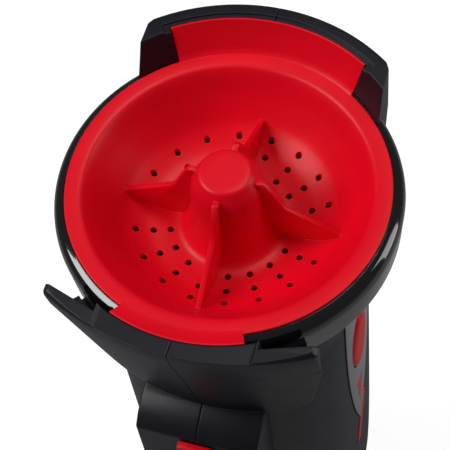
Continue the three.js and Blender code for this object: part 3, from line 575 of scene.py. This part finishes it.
def moulded_surface():
    """Moulded plastic: a fine spark texture, faint cloudiness, rounded edges lightened by rubbing wear and a
    painted highlight.
    """
    numbers = [("Roughness", 0.4), ("Cloudiness", 0.1), ("Grain scale", 2500), ("Grain depth", 0.00002)]
    numbers += [("Edge radius", 0.0004), ("Edge wear and sheen", 0.1)]
    inputs = [("Colour", "NodeSocketColor", (0.5, 0.5, 0.5, 1))]
    inputs += [(label, "NodeSocketFloat", value) for label, value in numbers]
    outputs = [("Colour", "NodeSocketColor"), ("Roughness", "NodeSocketFloat")]
    outputs.append(("Normal", "NodeSocketVector"))
    group = shader_group("Moulded surface", inputs, outputs)
    nodes, links = group.nodes, group.links
    source = nodes.new("NodeGroupInput")
    result = nodes.new("NodeGroupOutput")
    place = nodes.new("ShaderNodeTexCoord")

    grain = nodes.new("ShaderNodeTexNoise")
    grain.inputs["Detail"].default_value = 3
    links.new(place.outputs["Object"], grain.inputs["Vector"])
    links.new(source.outputs["Grain scale"], grain.inputs["Scale"])
    rounded = nodes.new("ShaderNodeBevel")
    rounded.samples = 6
    links.new(source.outputs["Edge radius"], rounded.inputs["Radius"])
    bump = nodes.new("ShaderNodeBump")
    links.new(grain.outputs["Fac"], bump.inputs["Height"])
    links.new(source.outputs["Grain depth"], bump.inputs["Distance"])
    links.new(rounded.outputs["Normal"], bump.inputs["Normal"])
    links.new(bump.outputs["Normal"], result.inputs["Normal"])

    # edges show where the rounded normal leaves the true one; there a pale grey is mixed in, part rubbing wear
    # and part painted highlight
    true_normal = nodes.new("ShaderNodeNewGeometry")
    facing = nodes.new("ShaderNodeVectorMath")
    facing.operation = "DOT_PRODUCT"
    links.new(rounded.outputs["Normal"], facing.inputs[0])
    links.new(true_normal.outputs["Normal"], facing.inputs[1])
    edge = nodes.new("ShaderNodeMapRange")
    edge.inputs["From Min"].default_value = 0.995
    edge.inputs["From Max"].default_value = 0.85
    links.new(facing.outputs["Value"], edge.inputs["Value"])
    edge_wear_and_sheen = nodes.new("ShaderNodeMath")
    edge_wear_and_sheen.operation = "MULTIPLY"
    links.new(edge.outputs["Result"], edge_wear_and_sheen.inputs[0])
    links.new(source.outputs["Edge wear and sheen"], edge_wear_and_sheen.inputs[1])

    # slow clouds of tone, some centimetres across, and finer patches in the gloss
    clouds = nodes.new("ShaderNodeTexNoise")
    clouds.inputs["Scale"].default_value = 45
    clouds.inputs["Detail"].default_value = 4
    links.new(place.outputs["Object"], clouds.inputs["Vector"])
    spread = nodes.new("ShaderNodeMapRange")
    spread.inputs["From Min"].default_value = 0.3
    spread.inputs["From Max"].default_value = 0.7
    spread.inputs["To Min"].default_value = -0.5
    spread.inputs["To Max"].default_value = 0.5
    links.new(clouds.outputs["Fac"], spread.inputs["Value"])
    tone = nodes.new("ShaderNodeMath")
    tone.operation = "MULTIPLY_ADD"
    tone.inputs[2].default_value = 1
    links.new(spread.outputs["Result"], tone.inputs[0])
    links.new(source.outputs["Cloudiness"], tone.inputs[1])
    shaded = nodes.new("ShaderNodeVectorMath")
    shaded.operation = "SCALE"
    links.new(source.outputs["Colour"], shaded.inputs[0])
    links.new(tone.outputs["Value"], shaded.inputs["Scale"])
    # painted highlight and wear along the edges: a pale grey mixed over the colour where the edge mask is high
    worn_and_sheened = nodes.new("ShaderNodeMix")
    worn_and_sheened.data_type = "RGBA"
    worn_and_sheened.inputs["B"].default_value = (0.5, 0.5, 0.52, 1)
    links.new(edge_wear_and_sheen.outputs["Value"], worn_and_sheened.inputs["Factor"])
    links.new(shaded.outputs["Vector"], worn_and_sheened.inputs["A"])
    links.new(worn_and_sheened.outputs["Result"], result.inputs["Colour"])

    patches = nodes.new("ShaderNodeTexNoise")
    patches.inputs["Scale"].default_value = 160
    patches.inputs["Detail"].default_value = 5
    links.new(place.outputs["Object"], patches.inputs["Vector"])
    gloss = nodes.new("ShaderNodeMapRange")
    gloss.inputs["To Min"].default_value = 0.85
    gloss.inputs["To Max"].default_value = 1.15
    links.new(patches.outputs["Fac"], gloss.inputs["Value"])
    rough = nodes.new("ShaderNodeMath")
    rough.operation = "MULTIPLY"
    links.new(source.outputs["Roughness"], rough.inputs[0])
    links.new(gloss.outputs["Result"], rough.inputs[1])
    links.new(rough.outputs["Value"], result.inputs["Roughness"])
    return group


MOULDED = moulded_surface()


def surface_material(name, group, values, **plain):
    """A Principled material whose colour, roughness and normal come from a group."""
    material = bpy.data.materials.new(name)
    material.use_nodes = True
    nodes, links = material.node_tree.nodes, material.node_tree.links
    shader = nodes["Principled BSDF"]
    detail = nodes.new("ShaderNodeGroup")
    detail.node_tree = group
    for label, value in values.items():
        detail.inputs[label].default_value = value
    links.new(detail.outputs["Colour"], shader.inputs["Base Color"])
    links.new(detail.outputs["Roughness"], shader.inputs["Roughness"])
    links.new(detail.outputs["Normal"], shader.inputs["Normal"])
    for label, value in plain.items():
        shader.inputs[label.replace("_", " ")].default_value = value
    return material


# the edge-lightening amount here gives a faint painted highlight along the edges, partly standing for rubbing
# wear
charcoal = surface_material(
    "Satin charcoal plastic",
    MOULDED,
    {"Colour": (0.0065, 0.006, 0.0105, 1), "Roughness": 0.4, "Cloudiness": 0.25, "Grain scale": 2600,
     "Grain depth": 0.000012, "Edge radius": 0.0007, "Edge wear and sheen": 0.03},
    Specular_IOR_Level=0.3,
)


def finish(piece, name, material, body, slot, *nodes):
    bpy.ops.object.select_all(action="DESELECT")
    piece.select_set(True)
    bpy.context.view_layer.objects.active = piece
    bpy.ops.object.shade_smooth_by_angle(angle=math.radians(28))
    piece.name = name
    piece.data.name = name
    piece.data.materials.clear()
    piece.data.materials.append(material)
    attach(piece, body)
    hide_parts(*nodes)


far = 0.4
right = keep(copy_of(shell), block("right_half", (CLEARANCE / 2, -far, -far), (far, far, far)))
left = keep(shell, block("left_half", (-far, -far, -far), (-CLEARANCE / 2, far, far)))
finish(right, "housing_shell_right", charcoal, "body", "matte_black", "housing_right")
finish(left, "housing_shell_left", charcoal, "body", "matte_black", "housing_left")

# ---- Front ring ----
# The glossy collar round the mouth: injection-moulded in piano-black ABS with a rounded top edge,
# pressed over the housing's tube and trapped under the funnel's flange.
piano = surface_material(
    "Piano black plastic",
    MOULDED,
    {"Colour": (0.004, 0.004, 0.005, 1), "Roughness": 0.09, "Cloudiness": 0.2, "Grain scale": 400,
     "Grain depth": 0.000003, "Edge radius": 0.0003, "Edge wear and sheen": 0.02},
    Coat_Weight=0.6,
    Coat_Roughness=0.03,
)
ring_profile = [(mouth_r + CLEARANCE, ring_low.z), (ring_r - 1.4 * mm, ring_low.z)]
ring_profile += arc((ring_r - 1.5 * mm, ring_low.z + 0.7 * mm), 0.7 * mm, -90, 0, 4)
ring_profile += [(ring_r - 0.2 * mm, rim_z - 8 * mm)]
ring_profile += through(
    [(ring_r, rim_z - 6 * mm), (ring_r - 0.5 * mm, rim_z - 3.6 * mm), (ring_r - 1.9 * mm, rim_z - 1.8 * mm),
     (flange_r + CLEARANCE, rim_z - 1 * mm)],
    5,
)
ring_profile += [(flange_r + CLEARANCE, rim_z - 2.8 * mm), (mouth_r + CLEARANCE, rim_z - 2.8 * mm)]
ring = turned("ring", [tuple(p) for p in ring_profile])
finish(ring, "front_ring_collar", piano, "body", "gloss_black", "front_ring")

# ---- Filter funnel ----
# The red cone that holds the dust back: a bowl with a flat hub on four thin fins, a perforated floor,
# a flange that rests on the ring and two tabs that reach into hood and chin. One satin red moulding.
red = surface_material(
    "Satin red plastic",
    MOULDED,
    {"Colour": (0.72, 0.0008, 0.012, 1), "Roughness": 0.38, "Cloudiness": 0.1, "Grain scale": 2200,
     "Grain depth": 0.000010, "Edge radius": 0.0004, "Edge wear and sheen": 0.03},
    Specular_IOR_Level=0.22,
)
bowl_r = ring_r - 10.6 * mm
collar_r = mouth_r - WALL - 0.8 * mm
flange_top = rim_z - 0.4 * mm
inside = [(0, 8.5), (8.1, 8.5), (8.8, 8.2), (9.6, 7.2), (12, 2.6), (12.6, -2), (13.4, -10), (15.2, -19)]
inside += [(17.6, -23.4), (21, -24.5), (25.4, -24.1), (30.5, -22.8), (36.2, -19.6), (39.7, -16.2)]
inside += [(44.6, -9.4), (47.8, -3.9), (49, -2), (50, -0.9), (51.4, -0.45)]
outer_scale = bowl_r - 49.4 * mm
inside = [(r * mm + (outer_scale if r > 22 else 0), rim_z + z * mm) for r, z in inside]
profile = [(0, rim_z + 8.5 * mm), (6 * mm, rim_z + 8.5 * mm)]
profile += [tuple(p) for p in through(inside[1:], 4)]
profile += [
    (flange_r - 0.3 * mm, flange_top),
    (flange_r, flange_top - 0.3 * mm),
    (flange_r, flange_top - 2 * mm),
    (collar_r, flange_top - 2 * mm),
    (collar_r, rim_z - 6 * mm),
    (bowl_r - 3.2 * mm, rim_z - 10.8 * mm),
    (bowl_r - 8.4 * mm, rim_z - 18.5 * mm),
    (bowl_r - 12.4 * mm, rim_z - 22 * mm),
    (bowl_r - 18.9 * mm, rim_z - 25.1 * mm),
    (bowl_r - 29 * mm, rim_z - 26.6 * mm),
    (15 * mm, rim_z - 26.6 * mm),
    (10 * mm, rim_z + 2 * mm),
    (7.4 * mm, rim_z + 6.5 * mm),
    (0, rim_z + 6.5 * mm),
]
funnel = turned("funnel", profile, steps=160)

FIN_HALF = 1.05 * mm
fin_side = [(9, 5.2), (11.2, 6.3), (12.6, 6.5), (13.9, 5.7), (16.2, 1.4), (18.4, -3.6), (20.4, -6.8)]
fin_side += [(39.2, -17), (36, -21.2), (30.4, -24), (20.2, -25.4), (15.9, -25.4), (12, -8), (10.9, 2)]
for i in range(4):
    fin = slab("fin", [(-FIN_HALF, r * mm, rim_z + z * mm) for r, z in fin_side], (2 * FIN_HALF, 0, 0))
    soften(fin, 0.35 * mm, 2, 50)
    edit(fin)
    bpy.ops.transform.rotate(value=math.radians(90 * i), orient_axis="Z", center_override=(0, 0, 0))
    close_edit()
    add(funnel, fin)

for shield in (HOOD, CHIN):
    side, rise, _, _, _, tab_angle = shield
    top = rim_z + rise - CLEARANCE
    foot = [
        (flange_r - 1.5 * mm, flange_top - 2 * mm),
        (flange_r + 0.1 * mm, flange_top - 2 * mm),
        (flange_r + 0.1 * mm, rim_z - 0.6 * mm),
        (flange_r + 1.6 * mm, rim_z - 0.6 * mm),
    ]
    if side > 0:
        crown = [
            (flange_r + 6.5 * mm, top - 0.3 * mm),
            (flange_r + 6.2 * mm, top),
            (flange_r + 5.7 * mm, top),
            (flange_r + 1.1 * mm, rim_z + 1.7 * mm),
            (flange_r, rim_z + 0.1 * mm),
            (flange_r - 0.7 * mm, flange_top),
        ]
    else:
        crown = [(flange_r + 4.7 * mm, top - 2 * mm), (flange_r + 4.7 * mm, top), (flange_r + 4.1 * mm, top)]
        crown += [(flange_r + 0.4 * mm, flange_top + 0.2 * mm)]
    crown.append((flange_r - 1.5 * mm, flange_top))
    add(funnel, turned("tab", foot + crown, 90 * side, tab_angle, 64))

# three rings of holes, none of them under a fin
drills = None
for row in range(18):
    if row % 9 == 0:
        continue
    turn = math.radians(2 + 20 * row)
    for share in (0.445, 0.567, 0.688):
        x, y = share * bowl_r * math.cos(turn), share * bowl_r * math.sin(turn)
        drill = rod("drill", 1.15 * mm, (x, y, rim_z - 32 * mm), (x, y, rim_z - 15 * mm), 20)
        drills = drills or drill
        if drill is not drills:
            drills.select_set(True)
            bpy.context.view_layer.objects.active = drills
            bpy.ops.object.join()
cut(funnel, drills)
finish(funnel, "filter_funnel_red", red, "filter_assembly", "red", "filter_funnel")

# ---- Side panels ----
# A leaf-shaped skin of piano-black ABS let into each side of the housing, with a red dart set in its
# tail and a slanting red flash past its point. All three are pressed in and glued.
for side in (1, -1):
    hand = "right" if side > 0 else "left"
    panel = keep(from_side("panel", panel_outline(0)), body_loft("panel_skin", -0.5 * mm, 2 * mm))
    hole = from_side("hole", oval(BUTTON_HALF_Y + CLEARANCE, BUTTON_HALF_Z + CLEARANCE), 10 * mm)
    dart_hole = from_side("dart_hole", dart_outline(CLEARANCE), 10 * mm)
    cut(panel, body_loft("panel_core", 1.4 * mm, 4 * mm), hole, dart_hole)
    dart = keep(from_side("dart", dart_outline(0)), body_loft("dart_skin", -0.5 * mm, 2 * mm))
    cut(dart, body_loft("dart_core", 1.4 * mm, 4 * mm))
    flash = keep(from_side("flash", flash_outline(0)), body_loft("flash_skin", -0.3 * mm, 2 * mm))
    cut(flash, body_loft("flash_core", 1 * mm, 4 * mm))
    for name, piece, material, slot in (
        ("side_panel", panel, piano, "gloss_black"),
        ("dart", dart, red, "red"),
        ("flash", flash, red, "red"),
    ):
        if side < 0:
            twin = mirror_of(piece)
            bpy.data.meshes.remove(piece.data)
            piece = twin
        finish(piece, f"{name}_{hand}_trim", material, "body", slot, f"{name}_{hand}")

# ---- Release buttons ----
# A long oval push button through each side panel, crowned for the thumb, moulded in the same red and
# held in by a flange behind the wall; a coil spring pushes it out.
for side in (1, -1):
    hand = "right" if side > 0 else "left"
    button_low, button_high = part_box(f"release_button_{hand}")
    back = min(abs(button_low.x), abs(button_high.x))
    face = max(abs(button_low.x), abs(button_high.x))
    steps = [(back, 1.8), (back + 2.3 * mm, 1.8), (back + 2.4 * mm, 0), (face - 2 * mm, 0)]
    steps.append((face - 1.2 * mm, -0.25))
    steps += [(face - 0.7 * mm, -0.8), (face - 0.35 * mm, -1.8), (face - 0.12 * mm, -3.4), (face, -6)]
    rings = []
    for x, grown in steps:
        ring_line = oval(BUTTON_HALF_Y + grown * mm, BUTTON_HALF_Z + grown * mm)
        rings.append([(side * x, y, z) for y, z in ring_line])
    button, node = lofted("button", rings), f"release_button_{hand}"
    finish(button, f"{node}_cap", red, f"button_{hand}", "red", node)

# ---- Power slider and charge light ----
# A small red slide switch on the flat of the neck, with two finger ridges, and a clear light pipe
# below it. The slider is snapped in through its slot; the light pipe is pressed in from behind.
slider_half = (slider_high.x - slider_low.x) / 2
cap_end = (slider_half, neck_face - CLEARANCE, slider_high.z)
cap = block("slider", (-slider_half, slider_low.y, slider_low.z), cap_end)
soften(cap, 0.6 * mm, 3, 60)
for i in range(5):
    z = slider_low.z + 4 * mm + i * 2.5 * mm
    groove = arc((slider_low.y, z), 0.7 * mm, -90, 90)
    cut(cap, slab("groove", [(-20 * mm, y, height) for y, height in groove], (40 * mm, 0, 0)))
stem_z = slider_low.z + 9 * mm
stem_low = (-2.5 * mm, neck_face - 1 * mm, stem_z - 3 * mm)
stem_high = (2.5 * mm, slider_high.y - 1 * mm, stem_z + 3 * mm)
add(cap, block("stem", stem_low, stem_high))
finish(cap, "power_slider_cap", red, "power_switch", "red", "power_slider")

lens = surface_material(
    "Clear light pipe",
    MOULDED,
    {"Colour": (0.62, 0.68, 0.64, 1), "Roughness": 0.12, "Cloudiness": 0.3, "Grain scale": 900,
     "Grain depth": 0.000004, "Edge radius": 0.0003, "Edge wear and sheen": 0.0},
    Coat_Weight=0.5,
)
light_y = light_low.y
light = rod("light", 1.8 * mm, (0, light_high.y, light_z), (0, light_y, light_z), 32)
soften(light, 0.25 * mm, 3, 50)
finish(light, "charge_light_lens", lens, "body", "lens", "charge_light")

# ---- Grip pad ----
# A strip of soft rubber let into the outside of the handle, with shallow cross ribs for the palm. It
# is moulded separately and glued into its recess.
rubber = surface_material(
    "Black rubber",
    MOULDED,
    {"Colour": (0.012, 0.012, 0.013, 1), "Roughness": 0.78, "Cloudiness": 0.4, "Grain scale": 1500,
     "Grain depth": 0.00004, "Edge radius": 0.0005, "Edge wear and sheen": 0.02},
    Specular_IOR_Level=0.35,
)
pad = keep(grip_band("pad", 0), handle("pad_skin", -0.4 * mm))
cut(pad, handle("pad_core", 1 * mm))
for i in range(18, 34):
    spot = handle_line[i]
    heading = (handle_line[i + 1] - handle_line[i - 1]).normalized()
    outwards = Vector((0, heading.z, -heading.y))
    centre = spot + outwards * 14.9 * mm
    across = Vector((20 * mm, 0, 0))
    cut(pad, rod("rib_gap", 0.9 * mm, centre - across, centre + across, 12))
finish(pad, "grip_pad_rubber", rubber, "body", "rubber", "grip_pad")

# ---- Tail cap, base pad and charging socket ----
# The housing is closed behind by a plain charcoal cap with a rubber pad under it to stand on. The
# charging socket is a dark moulded barrel that looks out of the wall on the hood side.
tail_x, tail_y = side_wall_x - 6.5 * mm, body_half_depth - 7.5 * mm


def tail_ring(z, inset):
    return [(x, y, z) for x, y in superellipse(tail_x - inset, tail_y - inset, 2.8, 96)]


cap_low, cap_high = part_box("tail_cap")
steps = [(cap_low.z, 5.6), (cap_low.z + 0.3 * mm, 4.9), (cap_low.z + 1.1 * mm, 2.8)]
steps += [(cap_low.z + 2.2 * mm, 1.4), (tail_z - 1.6 * mm, 0.3), (tail_z - 0.9 * mm, 0.02)]
steps += [(tail_z - 0.35 * mm, 0), (tail_z - 0.35 * mm, 3.6), (cap_high.z, 3.6)]
cap = lofted("cap", [tail_ring(z, inset * mm) for z, inset in steps])
finish(cap, "tail_cap_moulding", charcoal, "body", "matte_black", "tail_cap")

steps = [(0, 8.6), (0.15, 8.2), (0.6, 8), (1.6, 7.2), (2, 7)]
foot = lofted("foot", [tail_ring(z * mm, inset * mm) for z, inset in steps])
for i in range(-4, 5):
    x = i * 7 * mm
    groove = [(x - 1 * mm, -60 * mm, -1 * mm), (x + 1 * mm, -60 * mm, -1 * mm), (x, -60 * mm, 0.7 * mm)]
    cut(foot, slab("tread", groove, (0, 120 * mm, 0)))
finish(foot, "base_pad_rubber", rubber, "body", "rubber", "base_pad")

dark = surface_material(
    "Dark moulded plastic",
    MOULDED,
    {"Colour": (0.028, 0.028, 0.031, 1), "Roughness": 0.5, "Cloudiness": 0.2, "Grain scale": 1800,
     "Grain depth": 0.00002, "Edge radius": 0.0003, "Edge wear and sheen": 0.02},
)
face_y = socket_high.y
barrel = rod("barrel", 5 * mm, (0, socket_low.y, socket_z), (0, face_y, socket_z), 64)
soften(barrel, 0.4 * mm, 3, 50)
add(barrel, rod("collar", 7.5 * mm, (0, socket_low.y, socket_z), (0, face_y - 6 * mm, socket_z), 64))
cut(barrel, rod("bore", 3.2 * mm, (0, face_y - 9 * mm, socket_z), (0, face_y + 2 * mm, socket_z), 48))
finish(barrel, "charge_socket_barrel", dark, "body", "inner_black", "charge_socket")

# ---- Pieces inside ----
# What the vents, the holes and the empty mouth show: the filter's rubber seal, pleated paper and end
# plate, the fan and its cover, the motor, the battery and the board, all screwed into the shells.


def brushed_metal():
    """Plated or turned metal: fine lines round the axis and cloudy gloss."""
    inputs = [("Colour", "NodeSocketColor", (0.5, 0.5, 0.5, 1)), ("Roughness", "NodeSocketFloat", 0.3)]
    inputs += [("Line depth", "NodeSocketFloat", 0.00001)]
    outputs = [("Colour", "NodeSocketColor"), ("Roughness", "NodeSocketFloat")]
    outputs.append(("Normal", "NodeSocketVector"))
    group = shader_group("Brushed metal", inputs, outputs)
    nodes, links = group.nodes, group.links
    source = nodes.new("NodeGroupInput")
    result = nodes.new("NodeGroupOutput")
    place = nodes.new("ShaderNodeTexCoord")
    stretch = nodes.new("ShaderNodeMapping")
    stretch.inputs["Scale"].default_value = (60, 60, 4000)
    links.new(place.outputs["Object"], stretch.inputs["Vector"])
    lines = nodes.new("ShaderNodeTexNoise")
    lines.inputs["Scale"].default_value = 1
    lines.inputs["Detail"].default_value = 4
    links.new(stretch.outputs["Vector"], lines.inputs["Vector"])
    bump = nodes.new("ShaderNodeBump")
    links.new(lines.outputs["Fac"], bump.inputs["Height"])
    links.new(source.outputs["Line depth"], bump.inputs["Distance"])
    links.new(bump.outputs["Normal"], result.inputs["Normal"])
    tone = nodes.new("ShaderNodeMapRange")
    tone.inputs["To Min"].default_value = 0.8
    tone.inputs["To Max"].default_value = 1.15
    links.new(lines.outputs["Fac"], tone.inputs["Value"])
    shaded = nodes.new("ShaderNodeVectorMath")
    shaded.operation = "SCALE"
    links.new(source.outputs["Colour"], shaded.inputs[0])
    links.new(tone.outputs["Result"], shaded.inputs["Scale"])
    links.new(shaded.outputs["Vector"], result.inputs["Colour"])
    rough = nodes.new("ShaderNodeMath")
    rough.operation = "MULTIPLY"
    links.new(source.outputs["Roughness"], rough.inputs[0])
    links.new(tone.outputs["Result"], rough.inputs[1])
    links.new(rough.outputs["Value"], result.inputs["Roughness"])
    return group


METAL = brushed_metal()


def metal_material(name, colour, roughness):
    values = {"Colour": (*colour, 1), "Roughness": roughness, "Line depth": 0.00001}
    return surface_material(name, METAL, values, Metallic=1.0)


def plastic_material(name, colour, roughness, grain_scale, grain_depth, cloudiness):
    values = {"Colour": (*colour, 1), "Roughness": roughness, "Cloudiness": cloudiness}
    values.update({"Grain scale": grain_scale, "Grain depth": grain_depth})
    values.update({"Edge radius": 0.0003, "Edge wear and sheen": 0.02})
    return surface_material(name, MOULDED, values)


steel = metal_material("Zinc-plated steel", (0.55, 0.56, 0.58), 0.28)
laminated = metal_material("Dark laminated steel", (0.12, 0.12, 0.13), 0.42)
bronze = metal_material("Sintered bronze", (0.45, 0.28, 0.1), 0.4)
paper = plastic_material("Pleated filter paper", (0.8, 0.77, 0.68), 0.92, 700, 0.0001, 0.12)
cell_wrap = plastic_material("Blue cell wrap", (0.02, 0.14, 0.4), 0.3, 300, 0.00001, 0.2)
board_green = plastic_material("Green circuit board", (0.015, 0.1, 0.04), 0.4, 500, 0.00003, 0.3)
LOOKS = {
    "filter_seal": rubber,
    "motor_mount": rubber,
    "pleated_filter": paper,
    "circuit_board": board_green,
    "motor_shaft": steel,
    "shaft_nut": steel,
    "motor_can": steel,
    "motor_magnets": laminated,
    "armature": laminated,
    "bearing_front": bronze,
    "bearing_rear": bronze,
    "button_spring_right": steel,
    "button_spring_left": steel,
}
for name in ("filter_end_plate", "filter_seat", "impeller", "fan_cover", "motor_end_cap", "cell_tray_lower",
             "cell_tray_upper", "slide_switch"):
    LOOKS[name] = dark
LOOKS.update({f"cell_{i}": cell_wrap for i in range(1, 5)})
LOOKS.update({f"housing_screw_{i}": steel for i in range(1, 7)})
for name, material in LOOKS.items():
    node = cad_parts[name]
    node.data.materials.clear()
    node.data.materials.append(material)

# ---- Studio ----
# A plain pale floor under a large soft light above on the left, a smaller one on the right that edges
# the gloss, and a camera looking down into the mouth.
under = (0, 0, cad_box[0][2] - 0.2 * mm)
bpy.ops.mesh.primitive_grid_add(x_subdivisions=8, y_subdivisions=8, size=12, location=under)
floor = bpy.context.object
floor.name = "studio_floor"
floor_paint = bpy.data.materials.new("Studio floor")
floor_paint.use_nodes = True
paint = floor_paint.node_tree.nodes["Principled BSDF"]
paint.inputs["Base Color"].default_value = (0.22, 0.22, 0.23, 1)
paint.inputs["Roughness"].default_value = 0.9
paint.inputs["Emission Color"].default_value = (1, 1, 1, 1)
seen = floor_paint.node_tree.nodes.new("ShaderNodeLightPath")
glow = floor_paint.node_tree.nodes.new("ShaderNodeMapRange")
glow.inputs["To Min"].default_value = 0.05
glow.inputs["To Max"].default_value = 0.88
floor_paint.node_tree.links.new(seen.outputs["Is Camera Ray"], glow.inputs["Value"])
floor_paint.node_tree.links.new(glow.outputs["Result"], paint.inputs["Emission Strength"])
floor.data.materials.append(floor_paint)

aim = Vector((0, 0, rim_z))


def soft_light(name, azimuth, elevation, distance, size, power, colour=(1, 1, 1)):
    a, e = math.radians(azimuth), math.radians(elevation)
    towards = Vector((math.sin(a) * math.cos(e), -math.cos(a) * math.cos(e), math.sin(e)))
    lamp = bpy.data.lights.new(name, "AREA")
    lamp.shape = "RECTANGLE"
    lamp.size, lamp.size_y = size
    lamp.energy = power
    lamp.color = colour
    holder = bpy.data.objects.new(name, lamp)
    holder.location = aim + towards * distance
    holder.rotation_euler = towards.to_track_quat("Z", "Y").to_euler()
    bpy.context.scene.collection.objects.link(holder)


soft_light("key_light", -70, 45, 1.3, (0.7, 0.7), 13)
soft_light("top_light", 150, 70, 1.4, (0.6, 0.5), 6)
soft_light("edge_light", 110, 15, 1.0, (0.3, 0.9), 3)

world = bpy.data.worlds.new("Studio")
world.use_nodes = True
world.node_tree.nodes["Background"].inputs["Color"].default_value = (0.95, 0.97, 1, 1)
world.node_tree.nodes["Background"].inputs["Strength"].default_value = 0.12
bpy.context.scene.world = world
bpy.context.scene.view_settings.view_transform = "Standard"

AZIMUTH, ELEVATION, ROLL = math.radians(24.3), math.radians(58), math.radians(8.95)
flat = math.cos(ELEVATION)
back = Vector((math.sin(AZIMUTH) * flat, -math.cos(AZIMUTH) * flat, math.sin(ELEVATION)))
level = Vector((math.cos(AZIMUTH), math.sin(AZIMUTH), 0))
upright = back.cross(level)
across = math.cos(ROLL) * level - math.sin(ROLL) * upright
upwards = math.sin(ROLL) * level + math.cos(ROLL) * upright
lens_data = bpy.data.cameras.new("camera")
lens_data.lens = 118.6
lens_data.sensor_width = 36
lens_data.shift_x = -0.0048
lens_data.shift_y = -0.0887
camera = bpy.data.objects.new("camera", lens_data)
facing = Matrix((across, upwards, back)).transposed().to_4x4()
camera.matrix_world = Matrix.Translation(aim + back * 0.5) @ facing
bpy.context.scene.collection.objects.link(camera)
bpy.context.scene.camera = camera
